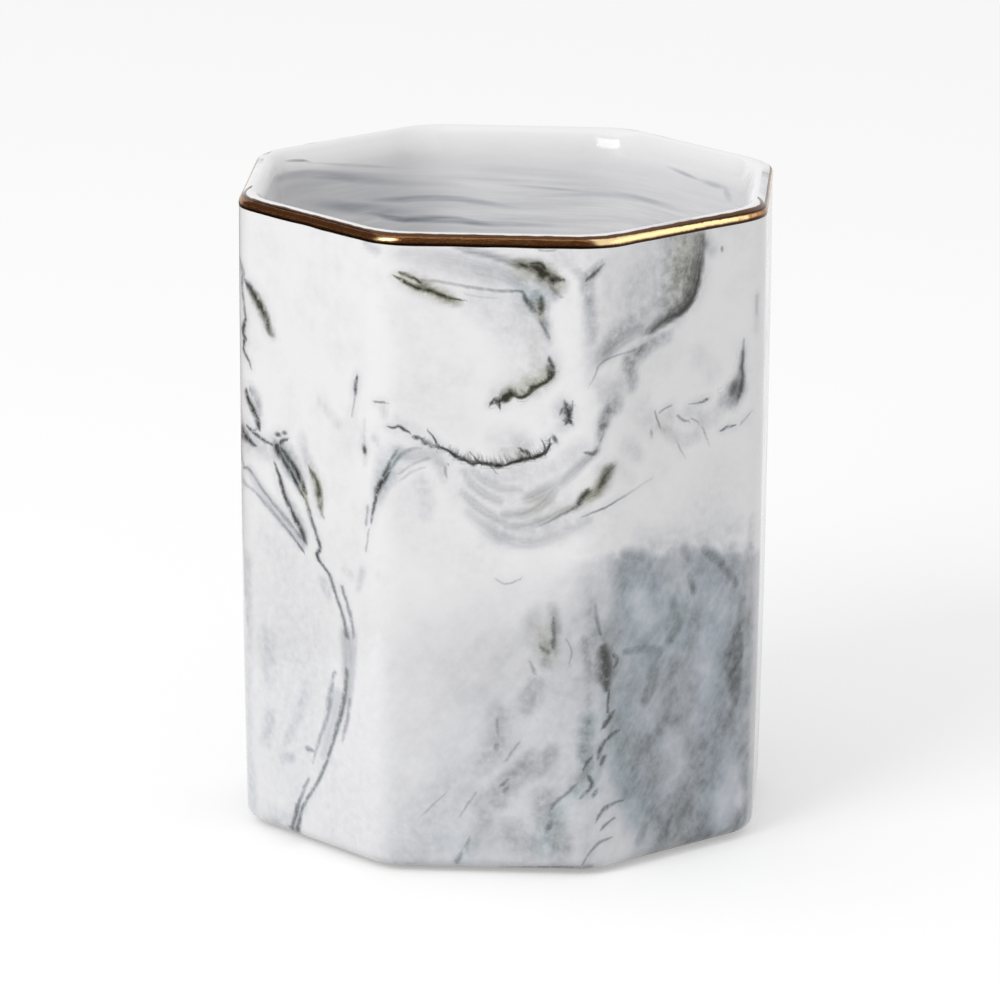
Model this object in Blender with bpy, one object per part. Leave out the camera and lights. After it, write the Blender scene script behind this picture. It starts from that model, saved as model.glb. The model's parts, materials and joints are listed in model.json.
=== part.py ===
"""Makeup brush holder: a slip-cast octagonal ceramic tumbler with a gilded lip, on four soft bumpers.

Lengths are in metres. The origin is on the table under the middle of the tumbler, and +Z is up.
Two of the eight sides face along X and two along Y.
"""

import math

import bmesh
import bpy

# Outer shape of the ceramic body
SIDES = 8
RIM_ACROSS_FLATS = 0.080
BODY_HEIGHT = 0.0983
DRAFT = 0.001  # how far each side has come in at the foot
DRAFT_CURVE = 2.4  # 1 would be a straight lean, more keeps the upper wall upright
OUTER_CORNER_RADIUS = 0.008

# Wall, floor and the hollow inside
WALL = 0.004
FLOOR = 0.005
INNER_CORNER_RADIUS = 0.012
FLOOR_FILLET = 0.007

# Lip: a small round outside, a narrow crest, and a long roll into the hollow
LIP_OUTER_RADIUS = 0.0014
LIP_CREST = 0.0002
LIP_ROLL_DEPTH = 0.005

# Foot: a rounded bottom edge, a flat ring to stand on, and a shallow recess inside it
FOOT_EDGE_RADIUS = 0.002
FOOT_RING_WIDTH = 0.006
RECESS_DEPTH = 0.0014
RECESS_SLOPE = 0.0008

# Gilded line round the outer shoulder of the lip, in a seat of its own depth
GILT_THICKNESS = 0.0004
GILT_DROP = 0.0018  # from the top of the lip down to the line's lower edge
GILT_START_ANGLE = math.radians(45)  # how far up the lip's outer round the line reaches
SEAT_GAP = 0.0003  # kept between pieces that touch

# Bumpers under the foot
BUMPER_COUNT = 4
BUMPER_DIAMETER = 0.009
BUMPER_EDGE_RADIUS = 0.0006
BUMPER_INSET = 0.002  # from the side of the recess
BUMPER_PROUD = 0.0008  # how far the bumpers stand below the foot ring

# Fineness of the rounded stretches
CORNER_STEPS = 6
WALL_STEPS = 8
ROUND_STEPS = 6
BUMPER_SIDES = 32
LARGEST_CORNER_SHARE = 0.9  # of a ring's half width
SMOOTH_ANGLE = math.radians(35)

QUARTER_TURN = math.pi / 2
BUMPER_PLACES = ("front_right", "back_right", "back_left", "front_left")


def half_width(z):
    """Half the width across the flats at a height above the foot."""
    down = 1 - z / BODY_HEIGHT
    return RIM_ACROSS_FLATS / 2 - DRAFT * down**DRAFT_CURVE


def octagon_ring(apothem, corner_radius, z):
    """Points of a rounded octagon whose sides lie at the apothem, anticlockwise seen from above."""
    radius = min(corner_radius, LARGEST_CORNER_SHARE * apothem)
    turn = math.tau / SIDES
    centre = (apothem - radius) / math.cos(turn / 2)
    points = []
    for side in range(SIDES):
        corner = turn * (side + 0.5)
        for step in range(CORNER_STEPS + 1):
            angle = corner + turn * (step / CORNER_STEPS - 0.5)
            x = centre * math.cos(corner) + radius * math.cos(angle)
            y = centre * math.sin(corner) + radius * math.sin(angle)
            points.append((x, y, z))
    return points


def circle_ring(radius, z):
    """Points of a circle round the Z axis, anticlockwise seen from above."""
    angles = [math.tau * step / BUMPER_SIDES for step in range(BUMPER_SIDES)]
    return [(radius * math.cos(angle), radius * math.sin(angle), z) for angle in angles]


def quarter(steps=ROUND_STEPS):
    """Angles that lead through a quarter turn, both ends included."""
    return [QUARTER_TURN * step / steps for step in range(steps + 1)]


def loft(name, rings, endless=False):
    """Mesh through rings of equally many points: capped at both ends, or joined back to its first ring."""
    shape = bmesh.new()
    loops = [[shape.verts.new(point) for point in ring] for ring in rings]
    count = len(loops[0])
    pairs = list(zip(loops, loops[1:]))
    if endless:
        pairs.append((loops[-1], loops[0]))
    else:
        shape.faces.new(reversed(loops[0]))
        shape.faces.new(loops[-1])
    for lower, upper in pairs:
        for here in range(count):
            after = (here + 1) % count
            shape.faces.new((lower[here], lower[after], upper[after], upper[here]))
    bmesh.ops.recalc_face_normals(shape, faces=shape.faces)
    mesh = bpy.data.meshes.new(name)
    shape.to_mesh(mesh)
    shape.free()
    mesh.shade_smooth()
    mesh.set_sharp_from_angle(angle=SMOOTH_ANGLE)
    return mesh


def place(name, mesh, location, material):
    """Puts a mesh into the scene as one named piece with one material."""
    piece = bpy.data.objects.new(name, mesh)
    piece.location = location
    if not mesh.materials:
        mesh.materials.append(material)
    bpy.context.scene.collection.objects.link(piece)
    return piece


def finish(name, colour, roughness, metallic):
    """A plain finish with one colour."""
    material = bpy.data.materials.new(name)
    material.use_nodes = True
    shader = material.node_tree.nodes["Principled BSDF"]
    shader.inputs["Base Color"].default_value = (*colour, 1)
    shader.inputs["Roughness"].default_value = roughness
    shader.inputs["Metallic"].default_value = metallic
    material.diffuse_color = (*colour, 1)
    return material


def underside_rings():
    """The recess under the floor, the foot ring and the rounded bottom edge."""
    recess = half_width(0) - FOOT_EDGE_RADIUS - FOOT_RING_WIDTH
    recess_corner = OUTER_CORNER_RADIUS - FOOT_EDGE_RADIUS
    rings = [
        octagon_ring(recess - RECESS_SLOPE, recess_corner, RECESS_DEPTH),
        octagon_ring(recess, recess_corner, 0),
    ]
    for angle in quarter():
        inset = FOOT_EDGE_RADIUS * (1 - math.sin(angle))
        z = FOOT_EDGE_RADIUS * (1 - math.cos(angle))
        rings.append(octagon_ring(half_width(z) - inset, OUTER_CORNER_RADIUS - inset, z))
    return rings


def outer_wall_rings():
    """The eight sides, from above the rounded bottom edge up to the gilded line's seat."""
    top = BODY_HEIGHT - GILT_DROP - SEAT_GAP
    rings = []
    for step in range(1, WALL_STEPS + 1):
        z = FOOT_EDGE_RADIUS + (top - FOOT_EDGE_RADIUS) * step / WALL_STEPS
        rings.append(octagon_ring(half_width(z), OUTER_CORNER_RADIUS, z))
    return rings


def lip_ring(depth, angle):
    """A ring on the lip's outer round, sunk by a depth, at an angle up from the wall."""
    radius = LIP_OUTER_RADIUS - depth
    z = BODY_HEIGHT - LIP_OUTER_RADIUS + radius * math.sin(angle)
    inset = LIP_OUTER_RADIUS - radius * math.cos(angle)
    return octagon_ring(half_width(z) - inset, OUTER_CORNER_RADIUS - inset, z)


def wall_ring(depth, z):
    """A ring on the upright stretch below the lip's round, sunk by a depth."""
    return octagon_ring(half_width(z) - depth, OUTER_CORNER_RADIUS - depth, z)


def lip_rings():
    """The gilded line's seat, the rest of the outer round, the crest and the roll into the hollow."""
    seat = GILT_THICKNESS + SEAT_GAP
    seat_end = GILT_START_ANGLE + SEAT_GAP / LIP_OUTER_RADIUS
    rings = [wall_ring(seat, BODY_HEIGHT - GILT_DROP - SEAT_GAP)]
    for step in range(ROUND_STEPS + 1):
        rings.append(lip_ring(seat, seat_end * step / ROUND_STEPS))
    for step in range(ROUND_STEPS + 1):
        rings.append(lip_ring(0, seat_end + (QUARTER_TURN - seat_end) * step / ROUND_STEPS))
    crest = LIP_OUTER_RADIUS + LIP_CREST
    crest_corner = OUTER_CORNER_RADIUS - crest
    for angle in quarter():
        inset = crest + (WALL - crest) * math.sin(angle)
        z = BODY_HEIGHT - LIP_ROLL_DEPTH * (1 - math.cos(angle))
        corner = crest_corner + (INNER_CORNER_RADIUS - crest_corner) * angle / QUARTER_TURN
        rings.append(octagon_ring(half_width(z) - inset, corner, z))
    return rings


def hollow_rings():
    """The inner wall below the lip's roll, and the rounded turn into the floor."""
    top = BODY_HEIGHT - LIP_ROLL_DEPTH
    bottom = FLOOR + FLOOR_FILLET
    rings = []
    for step in range(1, WALL_STEPS):
        z = top + (bottom - top) * step / WALL_STEPS
        rings.append(octagon_ring(half_width(z) - WALL, INNER_CORNER_RADIUS, z))
    for angle in quarter():
        inset = FLOOR_FILLET * (1 - math.cos(angle))
        z = bottom - FLOOR_FILLET * math.sin(angle)
        rings.append(octagon_ring(half_width(z) - WALL - inset, INNER_CORNER_RADIUS - inset, z))
    return rings


def make_cup_body():
    """The one-piece ceramic body: foot, walls, lip and floor."""
    rings = underside_rings() + outer_wall_rings() + lip_rings() + hollow_rings()
    glaze = finish("marbled_glaze", (0.80, 0.81, 0.83), 0.12, 0)
    return place("cup_body", loft("cup_body", rings), (0, 0, BUMPER_PROUD), glaze)


def make_gilt_rim():
    """The gilded line, a thin band over the lip's outer shoulder."""
    lower_edge = BODY_HEIGHT - GILT_DROP
    angles = [GILT_START_ANGLE * step / ROUND_STEPS for step in range(ROUND_STEPS + 1)]
    outside = [wall_ring(0, lower_edge)] + [lip_ring(0, angle) for angle in angles]
    inside = [wall_ring(GILT_THICKNESS, lower_edge)]
    inside += [lip_ring(GILT_THICKNESS, angle) for angle in angles]
    rings = outside + inside[::-1]
    gold = finish("gold_lustre", (0.76, 0.53, 0.24), 0.16, 1)
    return place("gilt_rim", loft("gilt_rim", rings, endless=True), (0, 0, BUMPER_PROUD), gold)


def make_bumpers():
    """Four soft round bumpers, stuck up into the recess, one under every other side."""
    top = BUMPER_PROUD + RECESS_DEPTH - SEAT_GAP
    radius = BUMPER_DIAMETER / 2
    rings = []
    for angle in quarter():
        inset = BUMPER_EDGE_RADIUS * (1 - math.sin(angle))
        rings.append(circle_ring(radius - inset, BUMPER_EDGE_RADIUS * (1 - math.cos(angle))))
    rings.append(circle_ring(radius, top))
    mesh = loft("bumper", rings)
    silicone = finish("soft_bumper", (0.78, 0.78, 0.75), 0.45, 0)
    recess = half_width(0) - FOOT_EDGE_RADIUS - FOOT_RING_WIDTH - RECESS_SLOPE
    reach = recess - BUMPER_INSET - radius
    for number, where in enumerate(BUMPER_PLACES):
        angle = math.tau * (number - 0.5) / BUMPER_COUNT
        location = (reach * math.cos(angle), reach * math.sin(angle), 0)
        place(f"bumper_{where}", mesh, location, silicone)


def main():
    for old in list(bpy.data.objects):
        bpy.data.objects.remove(old, do_unlink=True)
    make_cup_body()
    make_gilt_rim()
    make_bumpers()


main()
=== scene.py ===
# %% [markdown]
# # A marbled brush tumbler with a gilded lip
#
# This lesson dresses a plain solid model of a ceramic tumbler. The solids come in as a fixed frame, and
# every finish is laid over them here: the marbled glaze, the gold line, the bare foot and the soft bumpers.
# Nothing is moved or resized. Lengths are in metres unless a name says otherwise.

# %% Load the frame
import json
import math

import bpy
import numpy
from mathutils import Matrix, Vector, noise
from mathutils.bvhtree import BVHTree
from mathutils.interpolate import poly_3d_calc

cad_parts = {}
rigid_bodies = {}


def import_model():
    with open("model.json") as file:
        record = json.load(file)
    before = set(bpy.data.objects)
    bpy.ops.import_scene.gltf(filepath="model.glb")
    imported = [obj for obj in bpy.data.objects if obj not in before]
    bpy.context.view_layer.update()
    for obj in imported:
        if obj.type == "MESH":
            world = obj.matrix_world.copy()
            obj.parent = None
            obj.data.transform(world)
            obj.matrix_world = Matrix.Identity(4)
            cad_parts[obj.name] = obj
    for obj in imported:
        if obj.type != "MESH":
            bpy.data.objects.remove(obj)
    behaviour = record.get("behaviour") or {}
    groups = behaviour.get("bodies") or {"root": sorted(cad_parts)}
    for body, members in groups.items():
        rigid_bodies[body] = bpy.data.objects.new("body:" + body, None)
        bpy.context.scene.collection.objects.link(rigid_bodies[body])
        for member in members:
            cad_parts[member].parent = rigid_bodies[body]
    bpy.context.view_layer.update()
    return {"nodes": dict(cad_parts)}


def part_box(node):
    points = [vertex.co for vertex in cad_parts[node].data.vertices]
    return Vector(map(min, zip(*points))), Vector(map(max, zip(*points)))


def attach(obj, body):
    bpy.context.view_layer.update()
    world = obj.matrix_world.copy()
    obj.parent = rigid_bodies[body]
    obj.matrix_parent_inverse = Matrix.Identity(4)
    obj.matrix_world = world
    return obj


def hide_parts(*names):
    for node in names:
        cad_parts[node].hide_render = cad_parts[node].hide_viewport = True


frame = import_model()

cup_low, cup_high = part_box("cup_body")
print("nodes:", sorted(frame["nodes"]))
print("cup body from", tuple(cup_low), "to", tuple(cup_high))

# %% [markdown]
# ## The camera
#
# The photograph was taken with a long lens from a little above the tumbler. A long lens keeps the upright
# edges nearly parallel. The numbers below are a fit of a camera to the tumbler's outline, its gilded line,
# its far lip and its foot, so the model lands on the photograph.

# %% Camera
PHOTO_PX = 1000
FOCAL_PX = 7352
CAMERA_DISTANCE = 1.1335
CAMERA_RISE = math.radians(14.87)  # looking down
CAMERA_TURN = math.radians(3.77)  # towards the viewer's right of the front side
CAMERA_ROLL = math.radians(0.33)
AIM_ASIDE = -0.00102
AIM_BELOW_MIDDLE = 0.00165


def make_camera():
    """A camera that looks at a point near the tumbler's middle."""
    data = bpy.data.cameras.new("camera")
    data.sensor_width = 36.0
    data.lens = data.sensor_width * FOCAL_PX / PHOTO_PX
    eye = bpy.data.objects.new("camera", data)
    bpy.context.scene.collection.objects.link(eye)
    turn = Matrix.Rotation(CAMERA_TURN, 4, "Z")
    aim = turn @ Vector((AIM_ASIDE, 0, 0))
    aim.z = (cup_low.z + cup_high.z) / 2 - AIM_BELOW_MIDDLE
    tilt = Matrix.Rotation(math.pi / 2 - CAMERA_RISE, 4, "X")
    roll = Matrix.Rotation(CAMERA_ROLL, 4, "Z")
    back = Matrix.Translation((0, 0, CAMERA_DISTANCE))
    eye.matrix_world = Matrix.Translation(aim) @ turn @ tilt @ roll @ back
    bpy.context.scene.camera = eye
    bpy.context.view_layer.update()
    return eye


camera = make_camera()
print("camera at", tuple(round(value, 4) for value in camera.matrix_world.translation))

# %% [markdown]
# ## The tumbler's skin
#
# The real body is cast in a plaster mould: slip is poured in, a wall sets against the plaster, and the rest
# is poured out. That leaves an even wall, soft corners inside, and an outside as crisp as the mould. It is
# made here as a stack of rings. Each ring is an octagon with round corners, and a profile says how far out
# and how high each ring lies. A ring stack was chosen because the same loop gives the outside, the lip, the
# hollow and the foot, and because it hands out clean coordinates for painting.

# %% Sizes of the body
HALF_ACROSS = cup_high.x
HEIGHT = cup_high.z - cup_low.z
DRAFT = 0.001
DRAFT_CURVE = 2.4
WALL = 0.004
FLOOR = 0.005
OUTER_CORNER = 0.008
INNER_CORNER = 0.012
LIP_ROUND = 0.0014
LIP_CREST = 0.0002
LIP_ROLL = 0.005
CREST_CORNER = 0.011  # the octagon's corners soften over the lip
FLOOR_FILLET = 0.007
FOOT_EDGE = 0.002
FOOT_RING = 0.006
RECESS_DEPTH = 0.0014
RECESS_SLOPE = 0.0008
SKIN_INSET = 0.00006  # keeps room for the gold, and keeps the skin inside the solid's box
SIDES = 8
SEEN_SIDES = (3, 4, 5)  # the front and its two neighbours, which hold the finest streaks
SEEN_STEPS = 44
OTHER_STEPS = 28
CORNER_STEPS = 12
ROUNDEST = 0.9  # a corner's radius, as a share of the apothem, at most
QUARTER = math.pi / 2


def half_width(z):
    """Half the width across the flats at a height above the foot."""
    return HALF_ACROSS - SKIN_INSET - DRAFT * max(0.0, 1 - z / HEIGHT) ** DRAFT_CURVE


def flat_steps(side):
    """How many steps the flat of one side is cut into."""
    return SEEN_STEPS if side in SEEN_SIDES else OTHER_STEPS


def outline(apothem, radius):
    """Points of a rounded octagon, anticlockwise from the middle of the back side's right end."""
    turn = math.tau / SIDES
    radius = min(radius, ROUNDEST * apothem)
    flat = 2 * (apothem - radius) * math.tan(turn / 2)
    reach = (apothem - radius) / math.cos(turn / 2)
    points = []
    for side in range(SIDES):
        facing = QUARTER + side * turn
        out = Vector((math.cos(facing), math.sin(facing)))
        along = Vector((-out.y, out.x))
        steps = flat_steps(side)
        for step in range(steps):
            points.append(out * apothem + along * flat * (step / steps - 0.5))
        corner = facing + turn / 2
        centre = Vector((math.cos(corner), math.sin(corner))) * reach
        for step in range(CORNER_STEPS):
            angle = facing + turn * step / CORNER_STEPS
            points.append(centre + radius * Vector((math.cos(angle), math.sin(angle))))
    return points


print("half width at the rim and the foot:", half_width(HEIGHT), half_width(0))

# %% [markdown]
# The profile runs from under the foot, up the outside, over the lip and down into the hollow. Every stretch
# also gets a name, because the foot ring is bare clay, the outside is painted side by side, and the hollow
# has its own quiet streaks.

# %% Profile of the body
RECESS_SHARES = (0.05, 0.35, 0.65, 0.88, 0.97)
FOOT_SHARES = (0.15, 0.5, 0.85)
FLOOR_SHARES = (0.8, 0.6, 0.4, 0.2, 0.05)
RECESS_STEPS, FOOT_STEPS, SHOULDER_STEPS, ROLL_STEPS, FILLET_STEPS = 5, 8, 10, 16, 9
WALL_STEPS, HOLLOW_STEPS = 165, 24
BARE_EDGE = math.radians(20)  # how far bare clay reaches round the foot's edge


def arc(start, end, steps):
    """Angles from start to end, both included."""
    return [start + (end - start) * step / steps for step in range(steps + 1)]


def underside_profile():
    """Rings of the recess and of the bare foot ring, as (apothem, corner, height, stretch)."""
    recess = half_width(0) - FOOT_EDGE - FOOT_RING
    corner = OUTER_CORNER - FOOT_EDGE
    rings = []
    for share in RECESS_SHARES:
        rings.append((share * (recess - RECESS_SLOPE), corner, RECESS_DEPTH, "recess"))
    for angle in arc(0, QUARTER, RECESS_STEPS):
        apothem = recess - RECESS_SLOPE * math.cos(angle)
        rings.append((apothem, corner, RECESS_DEPTH * (1 - math.sin(angle)), "recess"))
    for share in FOOT_SHARES:
        rings.append((recess + share * FOOT_RING, corner, 0.0, "foot"))
    return rings


def shoulder_corner(inset):
    """The corner radius over the lip's shoulder, which softens towards the crest."""
    return OUTER_CORNER + (CREST_CORNER - OUTER_CORNER) * inset / (LIP_ROUND + LIP_CREST)


def outside_profile():
    """Rings of the rounded bottom edge, the wall and the outer half of the lip."""
    rings = []
    for angle in arc(0, QUARTER, FOOT_STEPS):
        inset = FOOT_EDGE * (1 - math.sin(angle))
        z = FOOT_EDGE * (1 - math.cos(angle))
        stretch = "foot" if angle < BARE_EDGE else "outside"
        rings.append((half_width(z) - inset, OUTER_CORNER - inset, z, stretch))
    top = HEIGHT - LIP_ROUND
    for step in range(1, WALL_STEPS):
        z = FOOT_EDGE + (top - FOOT_EDGE) * step / WALL_STEPS
        rings.append((half_width(z), OUTER_CORNER, z, "outside"))
    for angle in arc(0, QUARTER, SHOULDER_STEPS):
        inset = LIP_ROUND * (1 - math.cos(angle))
        z = top + LIP_ROUND * math.sin(angle)
        rings.append((half_width(z) - inset, shoulder_corner(inset), z, "outside"))
    return rings


def hollow_profile():
    """Rings of the lip's roll, the inner wall and the floor."""
    crest = LIP_ROUND + LIP_CREST
    rings = []
    for angle in arc(0, QUARTER, ROLL_STEPS):
        inset = crest + (WALL - crest) * math.sin(angle)
        z = HEIGHT - LIP_ROLL * (1 - math.cos(angle))
        corner = CREST_CORNER + (INNER_CORNER - CREST_CORNER) * angle / QUARTER
        rings.append((half_width(z) - inset, corner, z, "hollow"))
    top, bottom = HEIGHT - LIP_ROLL, FLOOR + FLOOR_FILLET
    for step in range(1, HOLLOW_STEPS):
        z = top + (bottom - top) * step / HOLLOW_STEPS
        rings.append((half_width(z) - WALL, INNER_CORNER, z, "hollow"))
    for angle in arc(0, QUARTER, FILLET_STEPS):
        inset = WALL + FLOOR_FILLET * (1 - math.cos(angle))
        z = bottom - FLOOR_FILLET * math.sin(angle)
        corner = INNER_CORNER - inset + WALL
        rings.append((half_width(z) - inset, corner, z, "hollow"))
    apothem, corner, z, stretch = rings[-1]
    return rings + [(share * apothem, corner, z, stretch) for share in FLOOR_SHARES]


profile = underside_profile() + outside_profile() + hollow_profile()
print("rings in the body:", len(profile), "points in a ring:", len(outline(HALF_ACROSS, OUTER_CORNER)))

# %% [markdown]
# Each point of the skin also gets a place on the unrolled wall: how far round it lies from the middle of the
# front side, and how far it lies along the profile from the bottom edge. These two lengths are stored as a UV
# map. A cast wall is never quite flat, so the skin is pulled in by up to a tenth of a millimetre, slowly
# varying, which is what makes the reflections swim a little on real glaze.

# %% Ring stack
WOBBLE = 0.00012
WOBBLE_SIZE = 0.028


def wobbled(point):
    """A point pulled a little towards the axis, by a slowly varying amount."""
    lift = 0.5 + 0.5 * noise.noise(point / WOBBLE_SIZE)
    flat = Vector((point.x, point.y, 0))
    if flat.length < WALL:
        return point
    return point - flat.normalized() * WOBBLE * min(1.0, max(0.0, lift))


def round_the_wall():
    """How far round each column lies from the middle of the front side, with the closing column last."""
    points = outline(HALF_ACROSS, OUTER_CORNER)
    lengths = [0.0]
    for here, after in zip(points, points[1:] + points[:1]):
        lengths.append(lengths[-1] + (after - here).length)
    front = SIDES // 2
    first = sum(flat_steps(side) + CORNER_STEPS for side in range(front))
    middle = (lengths[first] + lengths[first + flat_steps(front)]) / 2
    return [length - middle for length in lengths]


def along_profile(rings):
    """How far each ring lies along the profile, from zero at the bottom edge."""
    lengths = [0.0]
    for here, after in zip(rings, rings[1:]):
        lengths.append(lengths[-1] + math.hypot(after[0] - here[0], after[2] - here[2]))
    zero = lengths[len(underside_profile())]
    return [length - zero for length in lengths]


ring_columns = round_the_wall()
ring_heights = along_profile(profile)
PERIMETER = ring_columns[-1] - ring_columns[0]
print("perimeter", round(PERIMETER, 4), "profile length", round(ring_heights[-1] - ring_heights[0], 4))


def stack_rings(name, rings, across, along, endless=False):
    """A mesh object through rings of points, with the two lengths of every point in a UV map."""
    count = len(rings[0])
    faces, places = [], []
    for row in range(len(rings) if endless else len(rings) - 1):
        here, above = row * count, (row + 1) % len(rings) * count
        for column in range(count):
            after = (column + 1) % count
            faces.append((here + column, here + after, above + after, above + column))
            left, right, low, high = across[column], across[column + 1], along[row], along[row + 1]
            places.extend((left, low, right, low, right, high, left, high))
    if not endless:
        last = (len(rings) - 1) * count
        faces.append(tuple(reversed(range(count))))
        faces.append(tuple(range(last, last + count)))
        places.extend([0.0] * 4 * count)
    mesh = bpy.data.meshes.new(name)
    mesh.from_pydata([point for ring in rings for point in ring], [], faces)
    mesh.uv_layers.new(name="unrolled").uv.foreach_set("vector", places)
    mesh.shade_smooth()
    piece = bpy.data.objects.new(name, mesh)
    bpy.context.scene.collection.objects.link(piece)
    return piece


def ring_points(apothem, radius, z):
    """A ring of points in the row frame."""
    return [wobbled(Vector((p.x, p.y, z + cup_low.z))) for p in outline(apothem, radius)]


body_rings = [ring_points(apothem, radius, z) for apothem, radius, z, stretch in profile]
tumbler = stack_rings("marbled_tumbler", body_rings, ring_columns, ring_heights)
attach(tumbler, "root")
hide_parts("cup_body")
print("tumbler:", len(tumbler.data.vertices), "points,", len(tumbler.data.polygons), "faces")

# %% [markdown]
# ## The gilded line
#
# Liquid gold is banded on with a brush over the fired glaze and fired again. It is far thinner than a hair,
# but it has a body of its own: it starts on the lip's round shoulder and ends a little below it, and its
# edges wander because a hand held the brush. It is a thin closed band here, so that it catches light as
# metal does. Above it the brush left a film with no body, which is painted into the glaze's finish later.

# %% Gilded line
GILT_RAISE = 0.00005
GILT_SINK = 0.0001
GILT_START = math.radians(47)
GILT_DROP = 0.0018
GILT_WANDER = 0.00009
GILT_WANDER_SIZE = 0.006
GILT_STEPS = 12


def gilt_section(start, drop, raise_by):
    """(inset, height) pairs across the line, from its upper edge down, at a height over the skin."""
    top = HEIGHT - LIP_ROUND
    length = LIP_ROUND * start + drop - LIP_ROUND
    pairs = []
    for step in range(GILT_STEPS + 1):
        share = step / GILT_STEPS
        lift = raise_by * min(1.0, 6 * share * (1 - share)) if raise_by > 0 else raise_by
        gone = share * length
        if gone < LIP_ROUND * start:
            angle = start - gone / LIP_ROUND
            reach = LIP_ROUND + lift
            pairs.append((LIP_ROUND - reach * math.cos(angle), top + reach * math.sin(angle)))
        else:
            pairs.append((-lift, top - (gone - LIP_ROUND * start)))
    return pairs


def gilt_ring(step, raise_by):
    """One ring of the line. Its place across the lip wanders from column to column."""
    points = []
    for column in range(len(ring_columns) - 1):
        turn = math.tau * column / (len(ring_columns) - 1)
        reach = PERIMETER / math.tau / GILT_WANDER_SIZE
        spot = Vector((math.cos(turn), math.sin(turn), 0)) * reach
        upper = GILT_START + GILT_WANDER / LIP_ROUND * noise.noise(spot)
        lower = GILT_DROP + GILT_WANDER * noise.noise(spot + Vector((0, 0, 9)))
        inset, z = gilt_section(upper, lower, raise_by)[step]
        flat = outline(half_width(z) - inset, shoulder_corner(inset))[column]
        points.append(wobbled(Vector((flat.x, flat.y, z + cup_low.z))))
    return points


gilt_rows = [gilt_ring(step, GILT_RAISE) for step in range(GILT_STEPS + 1)]
gilt_rows += [gilt_ring(step, -GILT_SINK) for step in range(GILT_STEPS, -1, -1)]
gilt_along = [row / GILT_STEPS for row in range(GILT_STEPS + 1)]
gilt_along += [2.0 + row / GILT_STEPS for row in range(GILT_STEPS + 2)]
gilt_line = stack_rings("gilded_line", gilt_rows[::-1], ring_columns, gilt_along[::-1], endless=True)
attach(gilt_line, "root")
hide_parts("gilt_rim")
print("gilded line:", len(gilt_line.data.polygons), "faces")

# %% [markdown]
# ## The bumpers
#
# Four clear-white silicone dots are stuck into the recess under the foot. They are poured in a dish-shaped
# mould, so they have a low dome with a shallow dimple in the middle and a soft edge. A turned profile is the
# plain way to make a round part, so one loop makes the rings, and the same rings are built at each of the
# four places.

# %% Bumpers
BUMPER_SIDES = 64
BUMPER_EDGE = 0.0006
BUMPER_DOME = 0.00018
BUMPER_PLACES = ("front_right", "back_right", "back_left", "front_left")
DIMPLE_SHARES = (0.04, 0.2, 0.38, 0.55, 0.72, 0.86, 0.96)
LOWEST_SHARE = 0.72  # where the dome touches the table
EDGE_RINGS = 8


def bumper_rings(radius, top):
    """Rings of one bumper from the middle of its dimple, under its edge and up to its flat top."""
    rings = []
    for share in DIMPLE_SHARES:
        sunk = BUMPER_DOME * (1 - math.sin(math.pi * min(1.0, share / LOWEST_SHARE) / 2) ** 2)
        lifted = BUMPER_DOME * max(0.0, (share - LOWEST_SHARE) / (1 - LOWEST_SHARE)) ** 2
        rings.append(((radius - BUMPER_EDGE) * share, sunk + lifted))
    for angle in arc(0, QUARTER, EDGE_RINGS)[1:]:
        height = BUMPER_DOME + (BUMPER_EDGE - BUMPER_DOME) * (1 - math.cos(angle))
        rings.append((radius - BUMPER_EDGE * (1 - math.sin(angle)), height))
    rings += [(radius, (BUMPER_EDGE + top) / 2), (radius, top - BUMPER_DOME)]
    return rings + [(radius - BUMPER_DOME, top), (radius / 2, top)]


def make_bumper(where):
    """A bumper that stands in for the solid of the same place."""
    node = f"bumper_{where}"
    low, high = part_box(node)
    centre = (low + high) / 2
    radius = (high.x - low.x) / 2
    rings = []
    for reach, height in bumper_rings(radius, high.z - low.z):
        turns = (math.tau * step / BUMPER_SIDES for step in range(BUMPER_SIDES))
        spots = ((centre.x + reach * math.cos(turn), centre.y + reach * math.sin(turn)) for turn in turns)
        rings.append([Vector((*spot, low.z + height)) for spot in spots])
    across = [step / BUMPER_SIDES for step in range(BUMPER_SIDES + 1)]
    along = [step / len(rings) for step in range(len(rings) + 1)]
    bumper = stack_rings(f"silicone_{node}", rings, across, along)
    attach(bumper, "root")
    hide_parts(node)
    return bumper


bumpers = [make_bumper(where) for where in BUMPER_PLACES]
print("bumpers:", [bumper.name for bumper in bumpers])

# %% [markdown]
# ## Writing node trees
#
# A material is a small program of nodes. Written out node by node it is long and hard to read, so this
# helper turns it into sums: `web.math("ADD", a, b)` adds a node and gives back its output. Groups are made
# the same way, with named inputs and outputs, and are placed wherever a finish needs them.

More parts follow.
